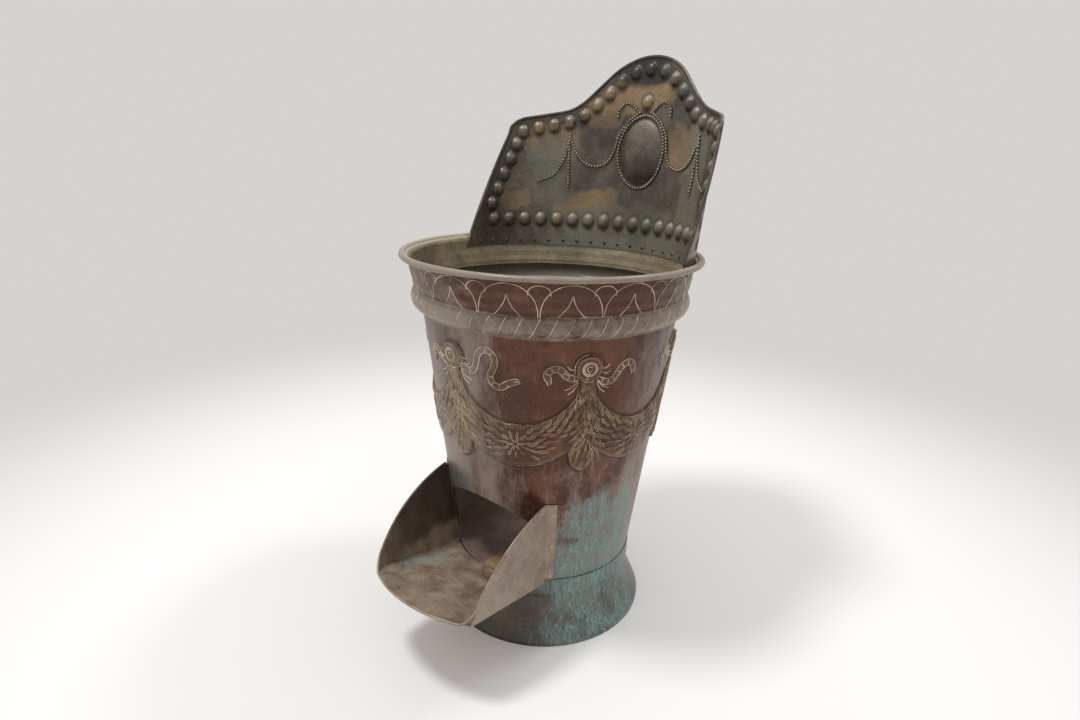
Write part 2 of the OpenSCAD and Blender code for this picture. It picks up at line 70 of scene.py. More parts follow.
def spin(degrees, axis):
    return Matrix.Rotation(math.radians(degrees), 4, axis)


def photograph_camera():
    lens = bpy.data.cameras.new("view")
    lens.sensor_width = SENSOR
    lens.lens = SENSOR * FOCUS_TO_WIDTH
    camera = add_object("view", lens)
    tilt = spin(-YAW, "Z") @ spin(90 - PITCH, "X") @ spin(ROLL, "Z")
    camera.matrix_world = spin(CAMERA_TURN, "Z") @ Matrix.Translation(CAMERA_AT) @ tilt
    bpy.context.scene.camera = camera
    return camera


view = photograph_camera()
print("camera at", [round(v, 3) for v in view.matrix_world.translation])

# %% [markdown]
# ## The forms that the ornament follows
# Everything on the outside of the bin is placed by an angle, counted from the middle of the tray
# towards +X, and a height. Ornament can be snapped onto a surface with a modifier, but here the
# same lines that shape the solids are written out in millimetres, so it lies where it should.

# %% Sizes in millimetres
MM = 0.001
SHEET = 1.2
LOW_R, LOW_Z, TOP_R, TOP_Z = 124.0, 91.0, 166.0, 430.0
TAPER = (TOP_R - LOW_R) / (TOP_Z - LOW_Z)
RIM_Z = 500.0


def body_r(z):
    return LOW_R + (np.maximum(z, LOW_Z) - LOW_Z) * TAPER


def place(angle, radius, z):
    """Points round the bin's axis, in millimetres."""
    a = np.radians(angle)
    return np.stack(np.broadcast_arrays(radius * np.sin(a), -radius * np.cos(a), z), axis=-1)


def sin_cos(a):
    return np.array([math.sin(math.radians(a)), math.cos(math.radians(a))])


def smooth(x):
    x = np.clip(x, 0, 1)
    return x * x * (3 - 2 * x)


def dome(d, power):
    """1 in the middle, where d is 0, and 0 from d = 1 on. A low power gives full, steep sides."""
    return np.maximum(1 - d, 0) ** power


# %% [markdown]
# ## A mesh from two skins
# Sheet metal has two skins with a wall between them. A Solidify modifier could thicken one skin,
# but it can't keep the back plain where only the front is worked. So both skins are grids of
# points: a face on one has its twin on the other, and strips of faces close the free edges.

# %% Closing two grids into one sheet
SHARP_FROM = 50
PROUD, SUNK = 0.03, 0.5  # how far a band's edge stands off the solid, and how deep its back lies in it


def quads(*corners):
    return np.stack(np.broadcast_arrays(*corners), -1).reshape(-1, 4)


def fix_normals(mesh):
    """Turns a closed mesh's faces outwards."""
    b = bmesh.new()
    b.from_mesh(mesh)
    bmesh.ops.recalc_face_normals(b, faces=b.faces)
    b.to_mesh(mesh)
    b.free()


def closed_sheet(name, front, back, ring, back_rows=None):
    """front and back are grids [column, row, xyz]. ring joins the last column to the first, and
    back_rows picks the few rows that a plain back needs."""
    nu, nv = front.shape[:2]
    if back_rows:
        back = back[:, back_rows]
    nb = back.shape[1]
    points = np.concatenate([front.reshape(-1, 3), back.reshape(-1, 3)]) * MM
    base = nu * nv
    i = np.arange(nu if ring else nu - 1)[:, None]
    k = (i + 1) % nu
    j, m = np.arange(nv - 1), np.arange(nb - 1)
    here, there, here_b, there_b = i * nv, k * nv, base + i * nb, base + k * nb
    faces = [quads(here + j, there + j, there + j + 1, here + j + 1),
             quads(here_b + m, here_b + m + 1, there_b + m + 1, there_b + m),
             quads(here, here_b, there_b, there),
             quads(here + nv - 1, there + nv - 1, there_b + nb - 1, here_b + nb - 1)]
    if not ring:
        last, last_b = (nu - 1) * nv, base + (nu - 1) * nb
        faces.append(quads(j, j + 1, base + j + 1, base + j))
        faces.append(quads(last + j, last_b + j, last_b + j + 1, last + j + 1))
    mesh = bpy.data.meshes.new(name)
    mesh.from_pydata(points.tolist(), [], np.concatenate(faces).tolist())
    mesh.update()
    mesh.shade_smooth()
    mesh.set_sharp_from_angle(angle=math.radians(SHARP_FROM))
    fix_normals(mesh)
    return add_object(name, mesh)


def keep_wear(piece, height, ring, dirt=0.0, tops=1.0):
    """Stores how far each point stands above or below its neighbours, as the finishes' wear: tops
    scales what is rubbed, dirt adds to the hollows, and the back has the opposite at half strength."""
    soft = height.copy()
    for axis, wrap in ((0, ring), (1, False)):
        for _ in range(3):
            pad = [(2, 2) if k == axis else (0, 0) for k in (0, 1)]
            wide = np.pad(soft, pad, mode="wrap" if wrap else "edge")
            soft = sum(np.take(wide, range(k, k + soft.shape[axis]), axis=axis) for k in range(5)) / 5
    step = np.clip((height - soft) * 1.2, -1, 1)
    wear = np.clip(np.where(step > 0, step * tops, step) - dirt, -1, 1).ravel()
    data = piece.data.attributes.new("wear", "FLOAT", "POINT")
    values = np.zeros(len(piece.data.vertices), np.float32)
    values[:wear.size] = wear
    if values.size >= 2 * wear.size:
        values[wear.size:2 * wear.size] = -0.5 * step.ravel()
    data.data.foreach_set("value", values)


def rides(piece):
    """Every piece is fixed to the one body of the bin."""
    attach(piece, "root")
    print(piece.name + ":", len(piece.data.polygons), "faces")
    return piece


# %% [markdown]
# ## The festoons
# The smith drove the festoons out from inside, then chased their outlines from outside. Six
# rosettes hang from ribbons, with a garland between each pair and a drop below each. They could be
# sculpted, but the six have to match and stay open to change. So the raised work is a height over
# the plain cone, added up form by form, and a fine band of mesh carries it.

# %% Where the rosettes and garlands are
COUNT = 6
STEP = 360.0 / COUNT
FIRST = -6.0
HANG_Z = 396.0
ROSETTE_R = 16.5
DROP_LOW, GARLAND_DEEP = 130.0, 56
FLOWER_LOW = 99
rng = np.random.default_rng(7)


def nearest(angle, first):
    """Angle in degrees from the nearest of six equally spaced places."""
    return (angle - first + STEP / 2) % STEP - STEP / 2


def arc_of(drop):
    """Centre height, radius and half angle of the arc that hangs by drop between two rosettes."""
    r = (SPAN ** 2 + drop ** 2) / (2 * drop)
    c = HANG_Z - drop + r
    return c, r, math.acos((c - HANG_Z) / r)


SPAN = float(body_r(HANG_Z - 30)) * math.sin(math.radians(STEP / 2))
LOW_EDGE, HIGH_EDGE = arc_of(DROP_LOW), arc_of(DROP_LOW - GARLAND_DEEP)


def in_garland(t, v):
    """A place in a garland, and the garland's width there: t runs from -1 to 1 between the
    rosettes, v from the lower edge at 0 to the upper edge at 1."""
    low, high = (np.array([r * math.sin(end * t), c - r * math.cos(end * t)]) for c, r, end in (LOW_EDGE, HIGH_EDGE))
    return low * (1 - v) + high * v, float(np.linalg.norm(high - low))


# %% The leaves, each as across, height, length and turn in degrees
def garland_leaves():
    """Leaves run towards the flower in the middle. One side keeps a plain strip along its lower edge."""
    leaves = []
    for side in (-1, 1):
        for n, t in enumerate(np.arange(0.14, 0.97, 0.062)):
            strip = 0.04 if side < 0 else 0.04 + 0.34 * float(smooth(t * 1.8))
            wide = in_garland(side * t, 0.5)[1] * (1 - strip)
            rows = int(min(5, max(1, wide // 8.6)))
            for k in range(rows):
                v = strip + (1 - strip) * (k + 0.7 + 0.35 * (n % 2)) / (rows + 0.5)
                here, ahead = in_garland(side * t, v)[0], in_garland(side * (t - 0.08), v)[0]
                lean = side * (v - 0.5) * 64
                turn = math.degrees(math.atan2(*(ahead - here)[::-1])) + lean + rng.uniform(-14, 14)
                leaves.append((here[0], here[1], rng.uniform(8, 16), turn))
    for ring, count in ((6.5, 6), (13.5, 11)):
        for k in range(count):
            a = math.radians(k * 360 / count + ring)
            leaves.append((ring * math.cos(a), HANG_Z - FLOWER_LOW + ring * math.sin(a), 8.5, math.degrees(a)))
    return leaves


def drop_leaves():
    """A spray that widens on its way down and leans a little to one side."""
    leaves = []
    for n, down in enumerate(np.linspace(24, 122, 15)):
        half = float(np.interp(down, [24, 60, 98, 122], [6, 12, 22, 15]))
        mid = float(np.interp(down, [24, 122], [0, 6]))
        count = max(2, round(half / 3.6))
        for k in range(count):
            s = mid + half * (2 * (k + 0.5 * (n % 2) + 0.25) / count - 1)
            turn = -90 + 38 * (s - mid) / half + rng.uniform(-10, 10)
            leaves.append((s, HANG_Z - down + rng.uniform(-2, 2), rng.uniform(9, 13), turn))
    return leaves


GARLAND_LEAVES = garland_leaves()
DROP_LEAVES = drop_leaves()
print("leaves in a garland:", len(GARLAND_LEAVES), "in a drop:", len(DROP_LEAVES))

# %% The ribbons, as curves beside a rosette
LONG_RIBBON = [(13, -9), (22, -14), (31, -13), (36, -4), (40, 8), (48, 15), (57, 14),
               (62, 5), (59, -6), (54, -16), (57, -25), (66, -28), (76, -22), (84, -19)]
SHORT_RIBBON = [(12, -13), (20, -18), (29, -18), (36, -10), (42, -2), (50, 2), (57, -1), (59, -8)]
LEFT_RIBBON = [(12, -11), (19, -12), (26, -8), (33, -1), (41, -1), (47, -7), (45, -14)]


def fair(points, n):
    """A smooth line through points, resampled to n places."""
    p = np.array(points, float)
    out = []
    for s in np.linspace(0, len(p) - 1, n):
        i = int(min(max(math.floor(s), 0), len(p) - 2))
        u = s - i
        a, b, c, d = (p[min(max(i + k, 0), len(p) - 1)] for k in (-1, 0, 1, 2))
        bend, twist = 2 * a - 5 * b + 4 * c - d, 3 * b - a - 3 * c + d
        out.append(0.5 * (2 * b + (c - a) * u + bend * u * u + twist * u ** 3))
    return np.array(out)


def ribbons_at(i):
    """Both ribbons of rosette i, as lines of (across, height) from its middle."""
    right = fair(LONG_RIBBON, 57) if i % 2 == 0 else fair(SHORT_RIBBON, 33)
    left = fair(LEFT_RIBBON, 29) * np.array([-1, 1])
    return [right, left]


# %% The height of the raised work
GARLAND_RISE, DROP_RISE, ROSETTE_RISE, RIBBON_RISE = 3.2, 3.6, 3.9, 1.3
RIBBON_HALF, RIBBON_EDGE = 4.4, 1.4
FAR_OFF = 99.0


def leaf_height(s, z, leaves):
    h = np.zeros_like(s)
    for ls, lz, length, turn in leaves:
        q, c = sin_cos(turn)
        u, v = (s - ls) * c + (z - lz) * q, -(s - ls) * q + (z - lz) * c
        d = (u / (length * 0.5)) ** 2 + (v / (length * 0.2)) ** 2
        h = np.maximum(h, dome(d, 0.7))
    return h


def garland_height(s, z):
    (low_c, low_r, _), (high_c, high_r, _) = LOW_EDGE, HIGH_EDGE
    inside = np.minimum(low_r - np.hypot(s, z - low_c), np.hypot(s, z - high_c) - high_r)
    m = np.clip(inside / 7, 0, 1) * (z < HANG_Z)
    pad = np.sqrt(1 - (1 - m) ** 4) * smooth((HANG_Z - z) / 12)
    return GARLAND_RISE * pad + pad * 1.3 * leaf_height(s, z, GARLAND_LEAVES)


def drop_height(s, z):
    wide = np.interp(HANG_Z - z, [0, 50, 88, 106, 122, 130, 136], [6.5, 9, 16, 17.5, 15, 11, 0])
    t = np.clip((wide - np.abs(s)) / 4, 0, 1)
    pad = np.sqrt(1 - (1 - t) ** 4) * smooth((HANG_Z - z) / 6)
    return DROP_RISE * pad + (1.6 - 0.4 * pad) * leaf_height(s, z, DROP_LEAVES)


def rosette_height(s, z):
    d = np.hypot(s, z - HANG_Z) / ROSETTE_R
    ring, knob, edge = (np.exp(-((d - at) / wide) ** 2) for at, wide in ((0.45, 0.1), (0.0, 0.2), (0.93, 0.06)))
    return np.where(d < 1, (ROSETTE_RISE + (1.0 * ring + 0.8 * knob + 0.5 * edge)) * smooth((1 - d) * 12), 0)


def festoon_height(angle, z):
    """How far the body stands out from the plain cone, in millimetres."""
    r = body_r(z)
    beside = np.radians(nearest(angle, FIRST)) * r
    h = garland_height(r * np.sin(np.radians(nearest(angle, FIRST + STEP / 2))), z)
    h = np.maximum(h, drop_height(beside, z))
    h = np.maximum(h, rosette_height(beside, z))
    for i in range(COUNT):
        s = np.radians((angle - FIRST - i * STEP + 180) % 360 - 180) * r
        near = (np.abs(s) < 98) & (np.abs(z - HANG_Z) < 40)
        if not near.any():
            continue
        pick = np.stack([s[near], z[near] - HANG_Z], -1)
        for line in ribbons_at(i):
            dist = np.full(s.shape, FAR_OFF)
            dist[near] = np.sqrt(((pick[:, None, :] - line[None, ::2]) ** 2).sum(-1)).min(1)
            h = np.maximum(h, RIBBON_RISE * smooth((RIBBON_HALF - dist) / RIBBON_EDGE))
    return h


# %% The band of fine mesh that carries it
BAND_LOW, WORK_LOW, WORK_HIGH, BAND_HIGH = 246, 256, 418, 428.5
BAND_FADE = 8


def festoon_band():
    angle = np.linspace(0, 360, 700, endpoint=False)[:, None]
    z = np.concatenate([np.linspace(BAND_LOW, WORK_LOW, 4)[:-1], np.linspace(WORK_LOW, WORK_HIGH, 130),
                        np.linspace(WORK_HIGH, BAND_HIGH, 5)[1:]])[None, :]
    angle, z = np.broadcast_arrays(angle, z)
    fade = smooth((z - BAND_LOW) / BAND_FADE) * smooth((BAND_HIGH - z) / BAND_FADE)
    height = festoon_height(angle, z) * fade
    front = place(angle, body_r(z) + PROUD + 0.12 * fade + height, z)
    back = place(angle, body_r(z) - SUNK, z)
    band = closed_sheet("embossed_festoons", front, back, True, [0, z.shape[1] - 1])
    keep_wear(band, height, True)
    return rides(band)


festoons = festoon_band()

# %% [markdown]
# ## The rope moulding
# The collar swells into a half-round roll, and slanting strokes make a rope of it. Real strands
# could be twisted round the bin, but the smith only hammered a wave into one sheet. So the strands
# are that wave, leaning a little on its way up and driven out from the plain half-round.

# %% The rope's strands
ROPE_STRANDS = 60
ROPE_LEAN = 4.6
ROPE_R, ROPE_HALF_H = 11.2, 13.6
ROPE_LOW, ROPE_HIGH = -86, 42
ROPE_C = (float(body_r(434.0)) + 1.3 + ROPE_R * 0.05, 434.0 + ROPE_HALF_H)


def rope_point(angle, v, proud):
    """A place on the roll: v runs from its lower crease at 0 to its upper crease at 1."""
    t = np.radians(ROPE_LOW + (ROPE_HIGH - ROPE_LOW) * v)
    return place(angle, ROPE_C[0] + (ROPE_R + proud) * np.cos(t), ROPE_C[1] + (ROPE_HALF_H + proud) * np.sin(t))


def rope_band():
    angle, v = np.linspace(0, 360, 900, endpoint=False)[:, None], np.linspace(0, 1, 20)[None, :]
    angle, v = np.broadcast_arrays(angle, v)
    wave = np.abs(np.sin(np.radians((angle - ROPE_LEAN * v) * ROPE_STRANDS / 2)))
    fade = smooth(v * 7) * smooth((1 - v) * 7)
    front = rope_point(angle, v, PROUD + (0.1 + 0.75 * wave ** 0.55) * fade)
    back = rope_point(angle, v, -SUNK)
    band = closed_sheet("rope_moulding", front, back, True)
    keep_wear(band, wave * fade * 1.5, True)
    return rides(band)


rope = rope_band()

# %% [markdown]
# ## The back panel
# The panel is one embossed sheet that wraps round the back of the rim and leans out a little. Its
# outline is a crown with hollow flanks and square shoulders, and its sides rake back. Bosses could
# be set on it as separate domes, but on the real one they are driven out of the sheet and hollow
# from behind. So a grid of columns runs up to the outline, and both of its skins are pushed out.

# %% The panel's outline
PANEL_TURN = 3.5
PANEL_H, SEAT_Z, PANEL_LEAN = 253.0, 485.0, 0.1
PANEL_R0 = 179.6
SIDE_RAKE, FRONT_Y = math.radians(26.7), 12.5
SHOULDER_Z, CORNER_R, SHOULDER_SLOPE = SEAT_Z + 168.0, 17.5, 14.0
CROWN_Z, CROWN_R, CROWN_SLOPE, HOLLOW_R = RIM_Z + PANEL_H, 88.0, 46.0, 68.0
SIDE_FOOT_Z = RIM_Z + 5.0
ARC_POINTS = 13


def panel_r(z):
    return PANEL_R0 + (z - SEAT_Z) * PANEL_LEAN


def side_y(z):
    return FRONT_Y + (z - SEAT_Z) * math.tan(SIDE_RAKE)


def half_outline():
    """Half of the panel's edge, from the crown's middle to the foot, as points in millimetres."""
    corner_x = math.sqrt(panel_r(SHOULDER_Z) ** 2 - side_y(SHOULDER_Z) ** 2) - CORNER_R
    corner_c = np.array([corner_x, SHOULDER_Z])
    crown = [np.array([CROWN_R * sin_cos(a)[0], CROWN_Z - CROWN_R * (1 - sin_cos(a)[1])])
             for a in np.linspace(0, CROWN_SLOPE, ARC_POINTS)]
    flank, shoulder = sin_cos(CROWN_SLOPE)[::-1] * [1, -1], sin_cos(SHOULDER_SLOPE)[::-1] * [1, -1]
    start = corner_c + CORNER_R * sin_cos(SHOULDER_SLOPE)
    d = start - crown[-1]
    run = (d[0] * shoulder[1] - d[1] * shoulder[0]) / (flank[0] * shoulder[1] - flank[1] * shoulder[0])
    meet = crown[-1] + flank * run
    cut = HOLLOW_R * math.tan(math.radians((CROWN_SLOPE - SHOULDER_SLOPE) / 2))
    hollow_c = meet + shoulder * cut + HOLLOW_R * sin_cos(SHOULDER_SLOPE)
    hollow = [hollow_c - HOLLOW_R * sin_cos(a) for a in np.linspace(CROWN_SLOPE, SHOULDER_SLOPE, ARC_POINTS)]
    corner = [corner_c + CORNER_R * sin_cos(a) for a in np.linspace(SHOULDER_SLOPE, 90, ARC_POINTS)]
    line = []
    for x, z in crown + hollow + corner:
        r = panel_r(z) - SHEET / 2
        line.append((x, math.sqrt(r * r - x * x), z))
    for z in np.linspace(SHOULDER_Z, SIDE_FOOT_Z, 25)[1:]:
        r, y = panel_r(z) - SHEET / 2, side_y(z)
        line.append((math.sqrt(r * r - y * y), y, z))
    return np.array(line)


HALF = half_outline()
EDGE = np.concatenate([HALF[::-1] * [-1, 1, 1], HALF[1:]])
print("panel edge:", len(EDGE), "points, crown at", round(HALF[0][2], 1), "mm")

# %% Where the medallion and the bosses go
MEDAL_Z, MEDAL_HIGH, MEDAL_WIDE, MEDAL_DOME = SEAT_Z + 140.0, 45.0, 34.0, 9.0
BOSS_INSET, EDGE_BOSSES, ROW_BOSSES, ROW_HALF, ROW_H, ROW_GAP = 17.0, 14, 19, 70.0, 38.0, 23.0
TOP_BOSS_GAP = 22
SIDE_FROM = 3 * ARC_POINTS  # the outline's first point on the raked side


def boss_places():
    """Angle from the panel's middle and height of each boss."""
    ahead = np.gradient(HALF, axis=0)
    ahead[0] = (1, 0, 0)
    out = HALF * [1, 1, 0]
    out[:, 2] = -np.linalg.norm(out[:, :2], axis=1) * PANEL_LEAN
    inward = np.cross(ahead, out)
    inset = HALF - BOSS_INSET * inward / np.linalg.norm(inward, axis=1)[:, None]
    run = np.concatenate([[0], np.cumsum(np.linalg.norm(np.diff(inset, axis=0), axis=1))])
    end = np.interp(-(SEAT_Z + ROW_H + ROW_GAP), -inset[SIDE_FROM:, 2], run[SIDE_FROM:])
    spots = []
    for i in range(EDGE_BOSSES + 1):
        p = [np.interp(end * i / EDGE_BOSSES, run, inset[:, k]) for k in range(3)]
        b = math.degrees(math.atan2(p[0], p[1]))
        spots += [(b, p[2])] if i == 0 else [(b, p[2]), (-b, p[2])]
    spots += [(b, SEAT_Z + ROW_H) for b in np.linspace(-ROW_HALF, ROW_HALF, ROW_BOSSES)]
    spots.append((0.0, MEDAL_Z + MEDAL_HIGH + TOP_BOSS_GAP))
    return spots


BOSSES = boss_places()
print("bosses:", len(BOSSES))

# %% Where the strings of beads run
SWAG = [(34, 645), (31, 622), (27, 608), (22, 603), (17, 608), (14.2, 620), (12.9, 634), (12, 647),
        (10.2, 657), (7.4, 669), (3, 679)]
HALF_SWAG = [(34.5, 643), (36, 618), (38.5, 600), (42, 588), (48, 580)]
TASSEL = [(34.2, 648), (34.3, 610), (34, 573)]
BOW = [(3, 679), (4.2, 682), (6, 688), (8.5, 692), (11, 690), (12.8, 682), (13, 674)]
RING_GAP = 5


def bead_strings():
    """Lines of (angle from the panel's middle, height): a ring round the medallion, and on both
    sides a swag, a half swag, a tassel and a bow."""
    t = np.radians(np.linspace(90, 450, 121))
    across = np.degrees((MEDAL_WIDE + RING_GAP) * np.cos(t) / panel_r(MEDAL_Z))
    strings = [np.stack([across, MEDAL_Z + (MEDAL_HIGH + RING_GAP) * np.sin(t)], -1)]
    for side in (-1, 1):
        for knots, n in ((SWAG, 90), (HALF_SWAG, 40), (TASSEL, 30), (BOW, 40)):
            strings.append(fair(knots, n) * [side, 1])
    return strings


STRINGS = bead_strings()


def from_string(b, z):
    """How far each point of a grid on the panel is from the nearest string, in millimetres."""
    dist = np.full(b.shape, FAR_OFF)
    for line in STRINGS:
        (b0, z0), (b1, z1) = line.min(0), line.max(0)
        near = (b > b0 - 2) & (b < b1 + 2) & (z > z0 - 6) & (z < z1 + 6)
        s, h = np.radians(b[near])[:, None] * panel_r(z[near])[:, None], z[near][:, None]
        ls, lh = np.radians(line[:, 0]) * panel_r(line[:, 1]), line[:, 1]
        dist[near] = np.minimum(dist[near], np.hypot(s - ls, h - lh).min(1))
    return dist


# %% The height of the embossing
BOSS_WIDE, BOSS_HIGH, BOSS_RISE = 8.6, 10.0, 6.2


def buckling(b, z):
    """The slow waves that hammering leaves in a sheet."""
    slow = 0.5 * np.sin(np.radians(b * 7 + z * 1.3)) * np.sin(z / 23.0 + 1)
    return slow + 0.35 * np.sin(np.radians(b * 15 - z * 2.1))


def panel_height(b, z):
    r = panel_r(z)
    h = np.zeros_like(b)
    for boss_b, boss_z in BOSSES:
        s = np.radians(b - boss_b) * r
        d = (s / BOSS_WIDE) ** 2 + ((z - boss_z) / BOSS_HIGH) ** 2
        h = np.maximum(h, BOSS_RISE * dome(d, 0.62))
    s = np.radians(b) * r
    d = (s / MEDAL_WIDE) ** 2 + ((z - MEDAL_Z) / MEDAL_HIGH) ** 2
    h = np.maximum(h, MEDAL_DOME * dome(d, 0.8))
    calm = smooth((z - SEAT_Z - 12) / 18) * smooth((CROWN_Z - 12 - z) / 20)
    return h + buckling(b, z) * calm * 0.8


def behind(b, radius, z):
    """Points by their angle from the panel's middle."""
    return place(180 - b - PANEL_TURN, radius, z)


# %% The embossed sheet
FOOT_R = 181  # about the panel's radius near its foot
PER_RADIAN = 57.3  # degrees in a radian, rounded
COLUMNS, ROWS = 380, 128


def embossed_panel():
    edge_b = np.degrees(np.arctan2(HALF[:, 0], HALF[:, 1]))
    edge_z = HALF[:, 2] - SHEET / 2
    last = edge_b[-1] + (SIDE_FOOT_Z - SEAT_Z) * math.tan(SIDE_RAKE) / FOOT_R * PER_RADIAN
    edge_b, edge_z = np.append(edge_b, last), np.append(edge_z, SEAT_Z + 0.2)
    b = np.linspace(-last, last, COLUMNS)[:, None]
    top = np.interp(np.abs(b), edge_b, edge_z)
    z = SEAT_Z + (top - SEAT_Z) * np.linspace(0, 1, ROWS)[None, :]
    b = np.broadcast_to(b, z.shape)
    h = panel_height(b, z) * smooth((top - z) / 3)
    front = behind(b, panel_r(z) - SHEET - h, z + h * PANEL_LEAN)
    back = behind(b, panel_r(z) - h, z + h * PANEL_LEAN)
    panel = closed_sheet("embossed_panel", front, back, False)
    keep_wear(panel, h, False, 0.9 * smooth((3.6 - from_string(b, z)) / 1.6), 0.3)
    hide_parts("back_panel")
    return rides(panel)


panel = embossed_panel()

# %% [markdown]
# ## A tree for lines that follow a surface
# Wired edges and chased lines are the same thing to Geometry Nodes: a curve, a round section swept
# along it, and a material. A curve's own bevel would sweep them too, but its radius and sides would
# be set again for each. One tree with named inputs serves them all.

# %% Nodes, and the ends that both trees share
def node(tree, kind, inputs=None, **settings):
    """A new node. An input given as a socket is linked, and any other value is set."""
    made = tree.nodes.new(kind)
    for key, value in settings.items():
        setattr(made, key, value)
    for key, value in (inputs or {}).items():
        if isinstance(value, bpy.types.NodeSocket):
            tree.links.new(value, made.inputs[key])
        else:
            made.inputs[key].default_value = value
    return made


def geometry_tree(name, *inputs):
    """A tree that takes a line and the named inputs, and the keys by which a modifier sets those."""
    tree = bpy.data.node_groups.new(name, "GeometryNodeTree")
    face = tree.interface
    face.new_socket("Line", in_out="INPUT", socket_type="NodeSocketGeometry")
    keys = [face.new_socket(title, in_out="INPUT", socket_type="NodeSocket" + kind).identifier
            for title, kind in inputs]
    face.new_socket("Mesh", in_out="OUTPUT", socket_type="NodeSocketGeometry")
    return tree, node(tree, "NodeGroupInput").outputs, keys


def end_tree(tree, shape, stuff):
    real = node(tree, "GeometryNodeRealizeInstances", {"Geometry": shape})
    soft = node(tree, "GeometryNodeSetShadeSmooth", {"Geometry": real.outputs["Geometry"]})
    paint = node(tree, "GeometryNodeSetMaterial", {"Geometry": soft.outputs["Geometry"], "Material": stuff})
    node(tree, "NodeGroupOutput", {"Mesh": paint.outputs["Geometry"]})


# %% The swept line
def line_tree():
    tree, given, keys = geometry_tree("Swept line", ("Radius", "Float"), ("Sides", "Int"), ("Material", "Material"))
    ring = node(tree, "GeometryNodeCurvePrimitiveCircle", {"Radius": given["Radius"], "Resolution": given["Sides"]})
    sweep = node(tree, "GeometryNodeCurveToMesh",
                 {"Curve": given["Line"], "Profile Curve": ring.outputs["Curve"], "Fill Caps": True})
    end_tree(tree, sweep.outputs["Mesh"], given["Material"])
    return tree, keys


LINE_TREE, LINE_KEYS = line_tree()


def curve_object(name, lines):
    """Lines of points in millimetres, as one curve."""
    curve = bpy.data.curves.new(name, "CURVE")
    curve.dimensions = "3D"
    for line in lines:
        spline = curve.splines.new("POLY")
        spline.points.add(len(line) - 1)
        flat = np.concatenate([np.asarray(line, float) * MM, np.ones((len(line), 1))], 1)
        spline.points.foreach_set("co", flat.ravel())
    return add_object(name, curve)


def plain_mesh(name, source):
    """Keeps what source's modifiers make of it as a plain mesh, and drops source."""
    mesh = bpy.data.meshes.new_from_object(source.evaluated_get(bpy.context.evaluated_depsgraph_get()))
    mesh.name = name
    bpy.data.objects.remove(source)
    return add_object(name, mesh)


def grown(name, lines, tree, keys, values):
    """Runs a geometry tree, with values for its keys, on a set of lines."""
    source = curve_object(name + "_path", lines)
    modifier = source.modifiers.new("tree", "NODES")
    modifier.node_group = tree
    for key, value in zip(keys, values):
        modifier[key] = value
    return rides(plain_mesh(name, source))


def swept(name, lines, radius, sides, stuff):
    return grown(name, lines, LINE_TREE, LINE_KEYS, (radius * MM, sides, stuff))


# %% [markdown]
# ## A tree for beads
# The strings of beads round the medallion and in the swags were punched one beside the other. Each
# bead could be copied by hand, but the strings bend and the count depends on their length. So the
# tree walks along a line by a fixed pitch and sets a small ball at each step, half sunk in the sheet.

# %% The bead string
def bead_tree():
    tree, given, keys = geometry_tree("Bead string", ("Pitch", "Float"), ("Bead radius", "Float"), ("Seed", "Int"),
                                      ("Material", "Material"))
    walk = node(tree, "GeometryNodeCurveToPoints", {"Curve": given["Line"], "Length": given["Pitch"]}, mode="LENGTH")
    ball = node(tree, "GeometryNodeMeshUVSphere", {"Segments": 9, "Rings": 5, "Radius": given["Bead radius"]})
    uneven = node(tree, "FunctionNodeRandomValue", {2: 0.85, 3: 1.12, "Seed": given["Seed"]})
    put = node(tree, "GeometryNodeInstanceOnPoints",
               {"Points": walk.outputs["Points"], "Instance": ball.outputs["Mesh"], "Scale": uneven.outputs[1]})
    end_tree(tree, put.outputs["Instances"], given["Material"])
    return tree, keys


BEAD_TREE, BEAD_KEYS = bead_tree()

# %% [markdown]
# ## Patina
# Old copper is never one colour. The sheet is red-brown under a dull skin, dust and lime turn it
# mauve and grey, and damp makes verdigris that runs down in streaks. A picture could be painted
# for each sheet, but noise needs no unwrapping and has no seams. So one node group mixes these
# from noise, and each sheet gets its own colours and its own places for dust and verdigris.

# %% Steps for shader trees
class Steps:
    """The steps that finishes are made of. Each takes numbers, colours or sockets and gives a socket."""

    def __init__(self, tree):
        self.tree = tree

    def node(self, kind, inputs=None, **settings):
        return node(self.tree, "ShaderNode" + kind, inputs, **settings).outputs

    def math(self, how, a, b=0.0, clamp=False):
        return self.node("Math", {0: a, 1: b}, operation=how, use_clamp=clamp)[0]

    def plus(self, a, b, clamp=False):
        return self.math("ADD", a, b, clamp)

    def minus(self, a, b):
        return self.math("SUBTRACT", a, b)

    def times(self, a, b, clamp=False):
        return self.math("MULTIPLY", a, b, clamp)

    def vector(self, how, inputs, out=0):
        return self.node("VectorMath", inputs, operation=how)[out]

    def scaled(self, color, factor):
        return self.vector("SCALE", {0: color, "Scale": factor})

    def noise(self, coords, scale, detail=4.0, rough=0.55, warp=0.0):
        return self.node("TexNoise", {"Vector": coords, "Scale": scale, "Detail": detail, "Roughness": rough,
                                      "Distortion": warp})["Fac"]

    def blend(self, fac, a, b):
        return self.node("Mix", {0: fac, 6: a, 7: b}, data_type="RGBA", blend_type="MIX")[2]

    def mapped(self, value, low, high, to_low=0.0, to_high=1.0, how="LINEAR"):
        return self.node("MapRange", {"Value": value, "From Min": low, "From Max": high, "To Min": to_low,
                                      "To Max": to_high}, interpolation_type=how)["Result"]

    def ramp(self, value, low, high):
        """0 below low, 1 above high, smooth between."""
        return self.mapped(value, low, high, how="SMOOTHSTEP")

    def layer(self, value, low, high, most):
        return self.times(self.ramp(value, low, high), most)

    def mixed(self, *parts):
        """The sum of parts, each given with its weight."""
        total = 0.0
        for part, weight in parts:
            total = self.plus(self.times(part, weight), total)
        return total


